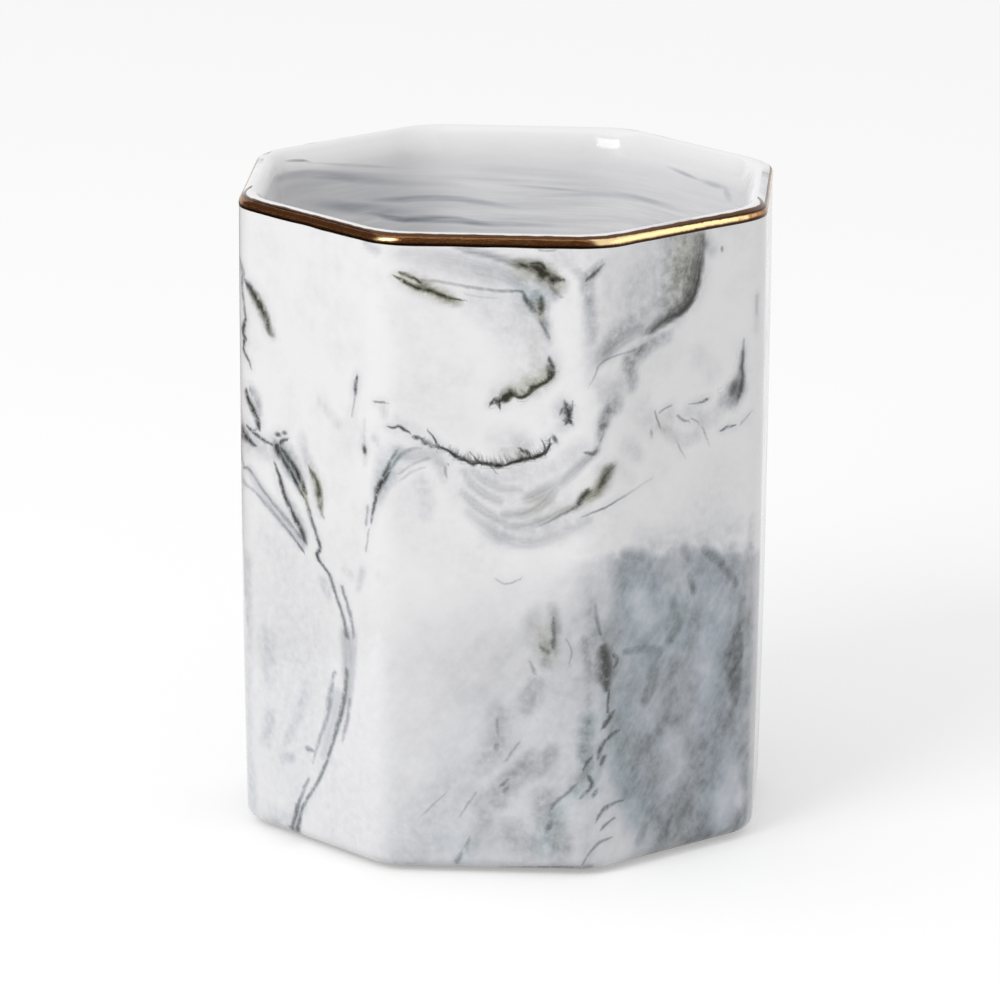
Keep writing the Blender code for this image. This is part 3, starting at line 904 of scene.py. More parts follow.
FRONT_SMOKE_PX = (
    ((392, 275, 6, 236), (406, 278, 11, 202), (426, 288, 12, 192), (450, 299, 10, 202), (464, 303, 6, 227)),
    ((400, 250, 18, 226), (440, 262, 22, 222), (480, 270, 24, 218), (512, 274, 22, 216),
     (540, 276, 18, 212)),
    ((390, 255, 12, 229), (420, 268, 14, 225), (470, 280, 12, 222), (510, 284, 12, 218)),
    ((560, 256, 16, 220), (590, 258, 14)),
    ((545, 280, 10, 180), (556, 286, 12, 165), (552, 294, 9, 180)),
    ((520, 293, 8, 195), (532, 297, 13, 160), (538, 306, 13, 148), (540, 318, 7, 170)),
    ((480, 300, 22, 218), (520, 330, 24, 217), (545, 360, 18, 216)),
    ((500, 330, 18, 228), (520, 370, 22, 226), (500, 390, 20, 229)),
    ((420, 400, 30, 230), (460, 420, 30, 229), (400, 400, 14, 228)),
    ((400, 500, 24, 226), (420, 540, 30, 228), (470, 560, 30, 229)),
    ((398, 862, 30, 216), (430, 826, 34, 218), (456, 782, 28, 223)),
    ((521, 266, 9, 165), (536, 270, 13, 140), (552, 279, 12, 145), (562, 282, 6, 185)),
    ((500, 298, 14, 222), (520, 304, 16, 208), (528, 316, 14, 212)),
    ((541, 318, 8, 185), (546, 330, 7, 178), (550, 342, 6, 210)),
    ((532, 330, 9, 216), (534, 350, 9, 212), (536, 368, 9, 208)),
    ((520, 374, 8, 217), (528, 384, 12, 197), (540, 384, 10, 202)),
    ((500, 396, 12, 207), (514, 390, 12, 202), (530, 386, 14, 192), (548, 372, 12, 182), (550, 360, 8, 202)),
    ((566, 408, 8, 14, 197), (566, 420, 8, 12, 192), (560, 430, 8, 222)),
    ((562, 262, 5, 222), (574, 268, 6, 212), (584, 278, 7, 195)),
    ((600, 266, 6, 170), (590, 276, 8, 165), (587, 284, 8, 180), (589, 300, 9, 190), (591, 320, 9, 198),
     (592, 340, 8, 205)),
    ((590, 340, 8, 222), (592, 380)),
    ((390, 460, 18, 216), (386, 474, 15, 193), (380, 488, 10, 188), (376, 506, 7, 213)),
    ((410, 430, 14, 222), (424, 442, 12, 218), (440, 450, 10, 215)),
    ((396, 418, 6, 222), (404, 426, 6, 218)),
    ((440, 465, 8, 212), (444, 478, 6, 215)),
    ((422, 484, 12, 217), (428, 500, 9, 219), (426, 518, 9, 221)),
    ((466, 470, 10, 220), (490, 476, 12, 216), (520, 474, 12, 214), (550, 468, 12, 218)),
    ((500, 440, 18, 222), (520, 446, 16, 208), (508, 452, 14, 206)),
    ((480, 492, 34, 226), (515, 500, 36, 221), (548, 500, 28), (575, 492, 22, 225)),
    ((500, 528, 22, 216), (540, 526, 22, 214), (580, 516, 20, 216)),
    ((560, 470, 16, 218), (580, 450, 14, 216)),
    ((532, 620, 12, 220), (538, 634, 14, 206), (545, 650, 12, 200), (545, 664, 9, 198)),
    ((552, 606, 5, 205), (555, 625, 7, 190), (553, 650, 8, 185)),
    ((526, 706, 12, 205), (536, 686, 12, 198)),
    ((500, 716, 14, 210), (496, 746, 16, 204), (482, 764, 14, 208)),
    ((498, 796, 15, 198), (514, 776, 14, 196), (532, 762, 12, 200)),
    ((552, 752, 10, 196), (538, 768, 12, 202)),
    ((478, 800, 12, 214), (484, 828, 12, 211), (470, 846, 12, 212)),
    ((510, 832, 16, 210), (536, 848, 14)),
    ((545, 800, 16, 198), (550, 824, 16, 190), (560, 846, 14, 195)),
    ((585, 640, 4, 6, 194), (586, 650, 4, 8, 199), (590, 665, 4, 8, 204)),
    ((588, 722, 10, 187), (584, 748, 9, 192), (586, 770, 9, 187), (574, 790, 9, 197)),
)
print("streaks on the front side:", len(FRONT_LINES_PX + CORNER_LINES_PX + FRONT_FRINGES_PX
                                        + FRONT_BANDS_PX + FRONT_SMOKE_PX))

# %% Streaks on the right side
RIGHT_LINES_PX = (
    ((582, 517, 2, 190), (592, 513, 2, 150), (602, 509, 2, 140), (610, 505), (618, 500, 2, 160),
     (628, 494, 2, 185), (640, 486, 2, 200), (652, 478)),
    ((599, 488, 4, 150), (602, 482, 7, 125), (605, 476, 8, 112), (608, 470, 9, 108), (612, 467, 6, 135)),
    ((604, 433, 2, 160), (601, 440, 2, 175), (599, 446, 1, 195)),
    ((601, 428, 4, 115), (605, 425, 4, 118)),
    ((602, 266, 2, 140), (598, 270, 3, 115), (594, 274, 4, 105), (588, 279, 4, 120)),
    ((722, 248, 2, 150), (722, 250)),
    ((744, 340, 2, 175), (743, 350, 3, 150), (743, 358, 3, 140), (742, 366, 3, 135), (743, 375, 4, 125),
     (742, 383, 5, 120), (741, 391, 5, 118), (739, 397, 4, 130)),
    ((734, 384, 4, 135), (732, 391, 5, 130)),
    ((659, 413, 2, 175), (664, 409, 2, 160), (672, 405, 2, 165)),
    ((690, 404, 1, 165), (697, 403, 2, 110), (702, 402, 2, 85)),
    ((703, 401, 2, 90), (708, 399, 2, 85)),
    ((655, 412, 2, 165), (657, 419, 2, 150), (660, 427, 2, 155)),
    ((678, 416, 3, 155), (683, 420, 3, 145), (688, 421, 2, 165)),
    ((692, 419, 2, 175), (698, 422)),
    ((703, 428, 2, 180), (705, 434, 2, 165), (709, 445, 1, 190)),
    ((722, 430, 2, 110), (728, 427, 3, 95), (734, 426, 2, 115)),
    ((740, 424, 2, 175), (745, 419, 2, 165), (751, 412, 1, 185)),
    ((676, 440, 1, 195), (680, 448, 2, 175), (685, 458, 1, 195)),
    ((651, 430, 2, 175), (652, 437, 2, 170)),
    ((692, 300, 3, 130), (686, 307, 4, 118), (679, 313, 4, 112), (670, 317, 4, 118), (661, 323, 3, 130),
     (652, 330, 3, 145)),
    ((645, 345, 2, 185), (632, 351, 2, 180), (618, 355, 2, 175), (606, 360, 2, 170), (598, 367, 2, 175),
     (595, 376, 2, 180), (589, 386, 1, 195)),
    ((757, 296, 3, 195), (757, 312, 2)),
)
RIGHT_FRINGES_PX = (
    ((744, 352, 2, 5, 170), (743, 370, 2, 7, 160), (743, 384, 2, 14, 145), (741, 394, 2, 18, 145),
     (739, 402, 2, 12, 160)),
)
RIGHT_BANDS_PX = (
    ((704, 244, 4, 16, 160), (702, 262, 3, 18, 140), (699, 282, 3, 18, 125), (694, 298, 3, 16, 115),
     (684, 311, 4, 14, 120), (668, 321, 4, 12, 130), (650, 333, 4, 10, 150)),
    ((640, 330, 9, 180), (620, 342, 10, 178), (604, 356, 8, 185)),
)
RIGHT_SMOKE_PX = (
    ((702, 232, 4, 30, 169), (704, 248, 3, 32, 157), (702, 262, 3, 34, 149), (699, 280, 3, 34, 147),
     (694, 296, 3, 24, 145), (686, 308, 3, 18, 143), (674, 317, 4, 14, 143), (660, 325, 4, 12, 159),
     (648, 334, 4, 9, 176)),
    ((680, 244, 24, 169), (680, 262, 26, 165), (678, 282, 26, 163), (670, 300, 20, 165)),
    ((700, 238, 12, 165), (712, 250, 9, 190)),
    ((650, 244, 26, 202), (646, 272, 28, 196), (634, 300, 24, 194), (618, 322, 16, 202)),
    ((612, 262, 16, 206), (606, 290, 18, 204), (600, 320, 14, 206)),
    ((650, 312, 13, 185), (634, 322, 12, 178), (618, 334, 11), (604, 350, 10, 180), (596, 366, 7, 195)),
    ((590, 284, 6, 185), (589, 300, 5, 190), (590, 322, 5, 195)),
    ((668, 336, 7, 182), (654, 342, 8, 170), (640, 352, 9, 157), (630, 362, 9, 150), (631, 374, 8, 162),
     (632, 386, 7, 182)),
    ((622, 382, 12, 195), (612, 396, 11, 192)),
    ((616, 404, 9, 165), (608, 412, 8, 150), (604, 423, 7, 148), (600, 436, 5, 178), (598, 448, 4, 195)),
    ((600, 384, 10, 203), (606, 398, 9, 195)),
    ((700, 355, 12, 208), (712, 372, 12, 206)),
    ((743, 350, 4, 185), (741, 370, 5, 165), (738, 386, 10, 148), (732, 396, 12, 152), (724, 402, 8, 180)),
    ((640, 414, 18, 205), (656, 424, 12, 200), (668, 416, 10, 196)),
    ((690, 412, 12, 200), (704, 420), (718, 412, 10)),
    ((664, 428, 8, 192), (682, 440, 9, 198), (696, 436, 8)),
    ((628, 446, 13, 202), (638, 456, 9, 200)),
    ((600, 470, 9, 196), (606, 478, 10, 175), (600, 488, 9, 180), (590, 496, 7, 185)),
    ((620, 470, 9, 205), (632, 480, 8, 208)),
    ((640, 536, 14, 204), (690, 536, 14, 202), (735, 530, 14, 204)),
    ((720, 480, 30, 209), (700, 520, 30, 208)),
    ((757, 296, 4, 203), (757, 330, 3, 205)),
    ((752, 520, 4, 204), (750, 548, 4, 196)),
)
print("streaks on the right side:",
      len(RIGHT_LINES_PX + RIGHT_FRINGES_PX + RIGHT_BANDS_PX + RIGHT_SMOKE_PX))

# %% [markdown]
# The same kind of streak serves for three more things. It adds darker patches to the bank of grey on the
# right side, it thins the bank out in others, and it marks where the pigment leans to another colour. There
# a grey only says how strongly, and the lower it is, the stronger.

# %% The bank of grey
CLOUD_SMOKE_PX = (
    ((625, 556, 10, 150), (645, 560, 12, 146), (652, 574, 9, 150)),
    ((684, 552, 10, 148), (690, 560, 9, 146)),
    ((704, 552, 9, 135), (716, 560, 10, 122), (728, 572, 10, 115), (736, 584, 8, 125)),
    ((690, 576, 7, 128), (694, 592, 7, 124)),
    ((672, 600, 10, 138), (678, 622, 12, 132), (670, 640, 11)),
    ((742, 600, 9, 130), (741, 620, 10, 120)),
    ((740, 636, 8, 20, 106), (739, 650, 8, 28, 86), (738, 672, 8, 28, 84), (738, 690, 8, 20, 100),
     (736, 704, 6, 12, 126)),
    ((625, 652, 8, 130), (644, 648, 10, 125), (660, 652, 10, 122)),
    ((652, 660, 12, 125), (652, 682, 13, 124), (645, 700, 10, 128)),
    ((614, 620, 8, 158), (604, 640, 7, 148)),
    ((604, 648, 8, 134), (607, 668, 10, 126), (606, 690, 7, 144)),
    ((622, 680, 12, 159), (622, 710, 12, 156), (616, 735, 10, 149)),
    ((600, 745, 9, 164), (600, 765), (592, 785, 8, 171)),
    ((625, 752, 9, 146), (645, 745, 10), (638, 764, 8, 151)),
    ((690, 755, 7, 144), (702, 765, 8, 127)),
    ((670, 798, 8, 138), (664, 812, 8, 142)),
    ((646, 824, 9, 142), (640, 840, 8, 149)),
    ((702, 800, 3, 14, 144), (702, 825, 3, 14, 142), (701, 848, 3, 10, 144)),
    ((690, 846, 10, 144), (720, 838, 9, 142), (740, 822, 7, 134)),
    ((730, 715, 9, 138), (734, 740, 8, 142)),
)
CLOUD_LIGHT_PX = (
    ((598, 560, 14, 178), (602, 585, 14, 176), (606, 612, 10, 188)),
    ((640, 600, 12, 170), (648, 620, 12, 175)),
    ((706, 640, 11, 185), (706, 690, 10)),
    ((672, 745, 13, 175), (676, 770, 14, 170), (668, 788, 10, 180)),
    ((724, 792, 13, 160), (724, 812, 13, 155), (722, 828, 9, 165)),
    ((598, 690, 10, 190), (600, 745, 13, 172), (602, 790, 17, 148), (608, 830, 26, 122),
     (614, 858, 34, 105)),
    ((730, 770, 12, 150), (738, 800, 10, 155)),
    ((716, 604, 9, 200), (722, 615, 8)),
)
print("patches in the bank:", len(CLOUD_SMOKE_PX), "darker,", len(CLOUD_LIGHT_PX), "lighter")

# %% Where the pigment leans to olive, to teal or to blue
OLIVE_PX = (
    ((396, 274, 9, 80), (425, 290, 14, 55), (456, 302, 10, 80)),
    ((522, 266, 12, 110), (545, 272, 14, 90), (560, 284, 10, 120)),
    ((512, 388, 20, 130), (530, 384, 20, 120), (548, 376, 12, 140)),
    ((318, 478, 10, 110), (321, 505, 8, 140)),
    ((258, 306, 12, 180), (268, 326, 10)),
    ((304, 494, 7, 120), (308, 502)),
    ((590, 498, 14, 110), (606, 476, 13)),
    ((534, 506, 20, 190), (560, 505, 18, 195)),
    ((380, 403, 10, 140), (383, 412)),
    ((686, 244, 20, 155), (684, 290, 18, 165)),
    ((664, 430, 30, 190), (700, 440)),
    ((470, 446, 12, 190), (520, 450, 14, 185)),
    ((534, 345, 12, 160), (534, 375)),
    ((540, 630, 12, 190), (548, 655)),
    ((540, 306, 6, 150), (540, 318)),
)
TEAL_PX = (
    ((590, 722, 14, 170), (586, 752, 12), (590, 780), (570, 800, 14), (552, 825, 16, 165), (545, 848, 14)),
    ((640, 604, 34, 185), (650, 640)),
    ((676, 604, 14, 150), (682, 640, 12)),
    ((394, 456, 12, 165), (386, 474, 12, 155)),
    ((524, 294, 12, 150), (542, 296, 10, 160)),
    ((284, 458, 9, 170), (296, 478, 8, 180)),
    ((445, 840, 18, 185), (465, 856, 16, 175)),
    ((620, 700, 18, 185), (618, 760), (640, 810)),
)
BLUE_PX = (
    ((640, 580, 40, 150), (650, 640, 50), (650, 720, 50, 145), (650, 800, 50, 150)),
    ((710, 570, 34, 110), (715, 650, 34, 90), (715, 730), (715, 810)),
    ((290, 600, 60, 190), (290, 700), (280, 790, 50)),
)
print("patches of olive, teal and blue:", len(OLIVE_PX), len(TEAL_PX), len(BLUE_PX))

# %% [markdown]
# The sides to the left and right of those three aren't in the photograph. Their streaks are invented in the
# same manner: each carries on from one that leaves the picture. Their points are millimetres round and up.

# %% Invented streaks
UNSEEN_LINES_MM = (
    ((53, 84, 0.3, 150), (54, 79, 0.5, 110), (57, 76, 0.9, 80), (61, 74, 0.7, 90), (64, 70, 0.4, 130)),
    ((54, 61, 0.3, 160), (55, 60, 0.4, 130), (57, 57, 0.5, 100), (61, 58, 0.8, 75), (64, 61, 0.4, 120)),
    ((56, 56, 0.3, 150), (59, 52, 0.4, 120), (60, 48, 0.3, 150)),
    ((62, 57, 0.3, 140), (65, 53, 0.5, 110), (68, 50, 0.3, 150)),
    ((54, 92, 0.4, 170), (56, 90, 0.6, 150), (60, 86, 0.4, 170)),
    ((55, 68, 0.3, 170), (58, 66, 0.3, 160)),
    ((-52, 80, 0.4, 130), (-53.5, 74, 0.8, 90), (-56, 69, 1, 70), (-59, 66, 0.5, 110), (-63, 64, 0.3, 150)),
    ((-52, 55, 0.4, 120), (-54, 57, 0.5, 95), (-57, 61, 0.8, 70), (-61, 62, 0.5, 100), (-65, 60, 0.4, 140)),
    ((-52, 49, 0.3, 150), (-55, 46, 0.4, 130), (-59, 41, 0.5, 110), (-62, 35, 0.4, 130),
     (-64, 27, 0.3, 150)),
    ((-57, 60, 0.3, 140), (-58, 54, 0.5, 110), (-57, 48, 0.3, 150)),
    ((-53, 88, 0.3, 170), (-57, 86, 0.4, 160), (-62, 88, 0.3, 180)),
    ((-60, 80, 0.4, 130), (-61, 76, 0.5, 110)),
)
UNSEEN_SMOKE_MM = (
    ((56, 82, 3, 205), (57, 76, 5, 175), (64, 71, 4, 200)),
    ((56, 60, 3, 205), (60, 58, 5, 185), (68, 52, 4, 205)),
    ((57, 92, 4, 205), (62, 84, 4, 210)),
    ((58, 70, 6, 215), (60, 66, 6, 215)),
    ((-55, 78, 3, 205), (-57, 68, 5, 180), (-64, 63, 4, 205)),
    ((-55, 56, 3, 205), (-58, 60, 5, 190), (-66, 59, 4, 210)),
    ((-54, 46, 4, 215), (-60, 38, 4, 205), (-64, 26, 4, 210)),
    ((-58, 20, 8, 215), (-60, 10, 9, 205), (-70, 6, 9, 205)),
)
UNSEEN_BANDS_MM = (
    ((53, 66, 2.5, 205), (56, 62, 3.5, 195), (63, 63, 3, 200), (70, 60, 2.5, 210)),
    ((-53, 66, 2.5, 210), (-56, 74, 3.5, 200), (-63, 72, 3, 200), (-70, 66, 2.5, 210)),
)
print("invented streaks:", len(UNSEEN_LINES_MM + UNSEEN_SMOKE_MM + UNSEEN_BANDS_MM))

# %% [markdown]
# A pixel of the photograph is thrown back along the camera's ray until it meets the skin. The skin's own
# coordinates then say how far round the wall and how far up the streak lies, in millimetres, so the streak
# stays on the tumbler when the camera moves. Widths are carried over the same way, because a side that faces
# away from the camera squeezes them.

# %% From pixels to the wall
NUDGES_PX = (0, 2, 4, 8, 12, 18)
LEAST_STRETCH, MOST_STRETCH = 0.13, 0.6  # millimetres that a pixel of width may cover
WHITE_GREY = {"left": 238, "front": 234, "right": 215}
skin_tree = BVHTree.FromPolygons(
    [point.co for point in tumbler.data.vertices], [tuple(face.vertices) for face in tumbler.data.polygons]
)


def on_wall(x, y):
    """Where a pixel of the photograph lies on the skin, as millimetres round and along.

    A pixel just outside the outline is nudged inwards until its ray meets the skin.
    """
    aim = Vector((x - PHOTO_PX / 2, PHOTO_PX / 2 - y))
    placed = camera.matrix_world
    for nudge in NUDGES_PX:
        inward = aim - aim.normalized() * nudge
        ray = placed.to_3x3() @ Vector((inward.x, inward.y, -FOCAL_PX))
        spot, _, index, _ = skin_tree.ray_cast(placed.translation, ray.normalized())
        if spot:
            break
    face = tumbler.data.polygons[index]
    shares = poly_3d_calc([tumbler.data.vertices[i].co for i in face.vertices], spot)
    unrolled = tumbler.data.uv_layers["unrolled"].data
    place = Vector((0, 0, 0))
    for loop, share in zip(face.loop_indices, shares):
        place += Vector((*unrolled[loop].uv, 0)) * share * MM
    return place


def to_linear(grey):
    """A screen grey, 0 to 255, as an amount of light."""
    level = grey / 255
    return level / 12.92 if level <= 0.04045 else ((level + 0.055) / 1.055) ** 2.4


def to_ink(grey, white):
    """How much of the white a grey covers."""
    return 1 - to_linear(grey) / to_linear(white)


def read_streak(streak, white):
    """A traced streak on the wall: rows of place (round, up), reach to the left and right, and ink.

    Lengths are millimetres. Left and right are seen along the streak, from its first point to its last.
    """
    left = right = 2.0
    grey = 100
    spots = []
    for x, y, *rest in streak:
        if rest:
            left, right = rest[0], rest[-2] if len(rest) == 3 else rest[0]
            grey = rest[-1] if len(rest) > 1 else grey
        spots.append((Vector((x, y)), left, right, grey))
    rows = []
    for number, (spot, left, right, grey) in enumerate(spots):
        before, after = spots[max(number - 1, 0)][0], spots[min(number + 1, len(spots) - 1)][0]
        along = after - before
        aside = Vector((-along.y, along.x)).normalized()
        near, far = on_wall(*(spot - aside)), on_wall(*(spot + aside))
        stretch = min(max((far - near).length / 2, LEAST_STRETCH), MOST_STRETCH)
        place = on_wall(*spot)
        rows.append((place.x, place.y, left * stretch, right * stretch, to_ink(grey, white)))
    return numpy.array(rows)


def read_wall_streak(streak):
    """An invented streak: its points are places on the wall already, and its widths are millimetres."""
    white = WHITE_GREY["front"]
    return numpy.array([(x, y, width, width, to_ink(grey, white)) for x, y, width, grey in streak])


print("photo middle lies at", tuple(round(v, 1) for v in on_wall(500, 500)), "mm on the wall")

# %% [markdown]
# ## From streaks to numbers on the mesh
#
# The streaks are laid on the mesh as numbers at its points, and the shader turns those back into paint. The
# trick is what the numbers are. For a line, a point stores how far it lies from the line's middle, with a
# minus sign on one side. Between two points that distance changes evenly, so the shader finds the line's
# exact place even in the middle of a face. Faces of half a millimetre can then hold a line far thinner.
#
# The photograph shows three of the eight sides. The sides behind use the same streaks, read backwards round
# the wall, raised by a quarter of its height and pulled out of shape by slow noise, so that no streak looks
# like its twin. Folding the distance round the wall at the two far sides does that without a seam.

# %% Places of the mesh points
FOLD = PERIMETER * MM / 4
BACK_FROM, BACK_TO = 50.0, 78.0
BACK_SHIFT = numpy.array((12.0, 20.0))
BACK_RISE = numpy.array((0.0, -22.0))
BACK_SHIFT_SIZE = 0.03  # metres
BACK_SEED = 1  # noise_vector takes its seed from the clock unless one is set
columns = len(ring_columns) - 1
noise.seed_set(BACK_SEED)


def ease(value, start, end):
    """Goes smoothly from 0, at start, to 1, at end."""
    share = numpy.clip((value - start) / (end - start), 0.0, 1.0)
    return share * share * (3 - 2 * share)


def find_places():
    """Where each point of the mesh lies among the streaks, in millimetres."""
    around = numpy.tile(ring_columns[:-1], len(profile)) * MM
    up = numpy.repeat(ring_heights, columns) * MM
    far = abs(around)
    folded = numpy.sign(around) * (FOLD - abs(far - FOLD))
    drift = [noise.noise_vector(point.co / BACK_SHIFT_SIZE)[:2] for point in tumbler.data.vertices]
    pull = numpy.array(drift) * BACK_SHIFT + BACK_RISE
    return numpy.column_stack((folded, up)) + pull * ease(far, BACK_FROM, BACK_TO)[:, None]


PLACES = find_places()
PAINTED = numpy.repeat([ring[3] in ("foot", "outside") for ring in profile], columns)
print("points that take paint:", int(PAINTED.sum()))

# %% [markdown]
# A traced streak has a point only where it bends. A smooth curve through those points is cut into short
# steps first. Then one function finds, for every mesh point near a streak, the nearest place on it: how far
# along, how far aside, and how wide and dark the streak is there.

# %% Measuring
STEP = 0.35


def smoothed(streak):
    """A streak with short steps, along a curve through its points."""
    padded = numpy.vstack((2 * streak[0] - streak[1], streak, 2 * streak[-1] - streak[-2]))
    rows = []
    for first, here, after, last in zip(padded, padded[1:], padded[2:], padded[3:]):
        steps = max(1, math.ceil(numpy.hypot(*(after - here)[:2]) / STEP))
        for share in numpy.arange(steps) / steps:
            bend = 2 * here + (after - first) * share
            bend = bend + (2 * first - 5 * here + 4 * after - last) * share ** 2
            bend = bend + (3 * here - first - 3 * after + last) * share ** 3
            row = here + (after - here) * share
            row[:2] = bend[:2] / 2
            rows.append(row)
    rows.append(streak[-1])
    return numpy.array(rows)


def measure(streak, reach):
    """The mesh points within reach of a streak.

    Gives their numbers, how far along and aside they lie, the streak's reach on their side, its ink, and how
    far they lie past either end.
    """
    rows = smoothed(streak)
    spots = rows[:, :2]
    inside = (PLACES > spots.min(0) - reach) & (PLACES < spots.max(0) + reach)
    near = numpy.flatnonzero(inside.all(1) & PAINTED)
    run = spots[1:] - spots[:-1]
    length = numpy.maximum(numpy.hypot(run[:, 0], run[:, 1]), 1e-6)
    offset = PLACES[near, None] - spots[:-1]
    share = (offset * run).sum(2) / length ** 2
    held = share.clip(0, 1)
    gap = numpy.linalg.norm(offset - held[..., None] * run, axis=2)
    closest = gap.argmin(1)
    pick = numpy.arange(len(near)), closest
    share, held, gap, offset = share[pick], held[pick], gap[pick], offset[pick]
    start, step = rows[closest], rows[closest + 1] - rows[closest]
    there = start + step * held[:, None]
    leftward = step[:, 0] * offset[:, 1] - step[:, 1] * offset[:, 0] > 0
    starts = numpy.concatenate(((0.0,), numpy.cumsum(length)))
    return {
        "near": near,
        "along": starts[closest] + held * length[closest],
        "aside": numpy.where(leftward, gap, -gap),
        "half": numpy.where(leftward, there[:, 2], there[:, 3]),
        "ink": there[:, 4],
        "past": abs(share - held) * length[closest],
    }


two_points = numpy.array([[0.0, 0.0, 1.0, 1.0, 1.0], [3.0, 1.0, 1.0, 1.0, 1.0]])
print("a streak of two points becomes", len(smoothed(two_points)), "points")

# %% [markdown]
# Two lines can't share their numbers where they come close, because a mesh point has room for one distance
# only. So lines are dealt out over several layers, each into the first layer that is still free all round it.

# %% Layers
FACE_REACH = 0.85  # millimetres, a little over the largest face's diagonal on the sides that are seen
END_REACH = 0.35
FAR_AWAY = 9.0
BAND_CORE = 0.15  # the share of a band's reach that has its full ink
BAND_STAGGER = 37.0  # keeps the fibres of two layers apart
LEAST_HAIR = 0.1
HAIR_REACH = 1.6
FRINGE_FADE = 1.2


class Layers:
    """Layers of three numbers for each mesh point, filled one streak at a time."""

    def __init__(self, name):
        self.name = name
        self.layers = []

    def place(self, near, zone, values):
        """Writes values at some points, in the first layer whose zone round them is free."""
        claimed = near[zone]
        for numbers, taken in self.layers:
            if not taken[claimed].any():
                break
        else:
            numbers, taken = numpy.zeros((len(PLACES), 3)), numpy.zeros(len(PLACES), bool)
            numbers[:, :2] = FAR_AWAY
            self.layers.append((numbers, taken))
        taken[claimed] = True
        numbers[claimed] = numpy.column_stack(values)[zone]

    def store(self):
        """Stores every layer as an attribute of the mesh, and gives back their names."""
        stored = [numbers for numbers, taken in self.layers]
        return [store_numbers(f"{self.name} {count}", numbers) for count, numbers in enumerate(stored, 1)]


def store_numbers(name, numbers):
    """Stores three numbers for each mesh point as an attribute."""
    layer = tumbler.data.attributes.new(name, "FLOAT_VECTOR", "POINT")
    layer.data.foreach_set("vector", numbers.astype(numpy.float32).ravel())
    return name


def lay_line(layers, streak):
    """Stores a line as distance aside, width and ink."""
    widest = streak[:, 2:4].max()
    found = measure(streak, widest + 2 * FACE_REACH)
    gap = abs(found["aside"])
    inked = (gap < found["half"] + FACE_REACH) & (found["past"] < END_REACH)
    zone = gap < found["half"] + 2 * FACE_REACH
    layers.place(found["near"], zone, (found["aside"], found["half"], found["ink"] * inked))


def lay_dab(layers, streak):
    """Stores a short dab as an ellipse: place along and across it, in shares of its size, and ink."""
    middle = (streak[0, :2] + streak[-1, :2]) / 2
    run = streak[-1, :2] - streak[0, :2]
    half = streak[:, 2].max()
    length = numpy.hypot(*run)
    reach = length / 2 + half
    along = run / length if length > 0 else numpy.array((0.0, 1.0))
    offset = PLACES - middle
    near = numpy.flatnonzero((abs(offset) < reach + 2 * FACE_REACH).all(1) & PAINTED)
    offset = offset[near]
    across = numpy.array((-along[1], along[0]))
    gap = numpy.hypot(offset[:, 0], offset[:, 1])
    ink = streak[:, 4].max() * (gap < reach + FACE_REACH)
    layers.place(near, gap < reach + 2 * FACE_REACH, (offset @ along / reach, offset @ across / half, ink))


def lay_band(layers, streak):
    """Stores a soft band as distance along, distance aside and ink that fades to its edges."""
    found = measure(streak, streak[:, 2:4].max())
    fade = 1 - ease(abs(found["aside"]) / found["half"], BAND_CORE, 1.0)
    zone = (abs(found["aside"]) < found["half"]) & (found["past"] < found["half"])
    start = BAND_STAGGER * len(layers.layers) + streak[0, 0]
    layers.place(found["near"], zone, (found["along"] + start, found["aside"], found["ink"] * fade))


def lay_fringe(layers, streak):
    """Stores a fringe of hairs as distance along its root, share of the hairs' length, and ink."""
    found = measure(streak, streak[:, 2:4].max() + FACE_REACH)
    share = found["aside"] / numpy.maximum(found["half"], LEAST_HAIR)
    zone = (abs(share) < HAIR_REACH) & (found["past"] < 2 * FACE_REACH)
    inked = found["ink"] * (1 - ease(found["past"], 0.0, FRINGE_FADE))
    layers.place(found["near"], zone, (found["along"] + streak[0, 0], share, inked))


SOFT_SPREAD = 1.45
SOFT_CORE = 0.1
SHARPNESS = 4.0  # how clearly the darkest wins where soft streaks cross


def soft_ink(streaks):
    """The ink of soft streaks at every mesh point."""
    total = numpy.zeros(len(PLACES))
    for streak in streaks:
        found = measure(streak, streak[:, 2:4].max() * SOFT_SPREAD)
        fade = 1 - ease(abs(found["aside"]) / found["half"], SOFT_CORE, SOFT_SPREAD)
        total[found["near"]] += (found["ink"] * fade).clip(0, 1) ** SHARPNESS
    return total ** (1 / SHARPNESS)


print("paint goes into layers of three numbers a point")

# %% [markdown]
# ## Laying the streaks
#
# Lines keep a sharp edge, short ones become dabs, bands carry fibres along them and a fringe carries hairs
# across it. Every line also gets a faint halo, because the cobalt and iron in the pigment bleed a little
# into the glaze round them. Smoke, the halo and the three casts of colour have no edge at all.

# %% Lay the streaks
LEAST_LINE = 1.3  # millimetres. A shorter streak is a dab
HALO_REACH = 0.7
HALO_SHARE = 0.15


def traced(streaks, side):
    """Traced streaks of one side, on the wall."""
    return [read_streak(streak, WHITE_GREY[side]) for streak in streaks]


def run_length(streak):
    """How long a streak is."""
    return numpy.hypot(*(streak[1:, :2] - streak[:-1, :2]).T).sum()


def halo_of(streak):
    """A wide, faint copy of a streak."""
    halo = streak.copy()
    halo[:, 2:4] += HALO_REACH
    halo[:, 4] *= HALO_SHARE
    return halo


def lay_all(name, lay, streaks):
    """Lays the streaks of one kind, and gives back the names of their layers."""
    layers = Layers(name)
    for streak in streaks:
        lay(layers, streak)
    return layers.store()


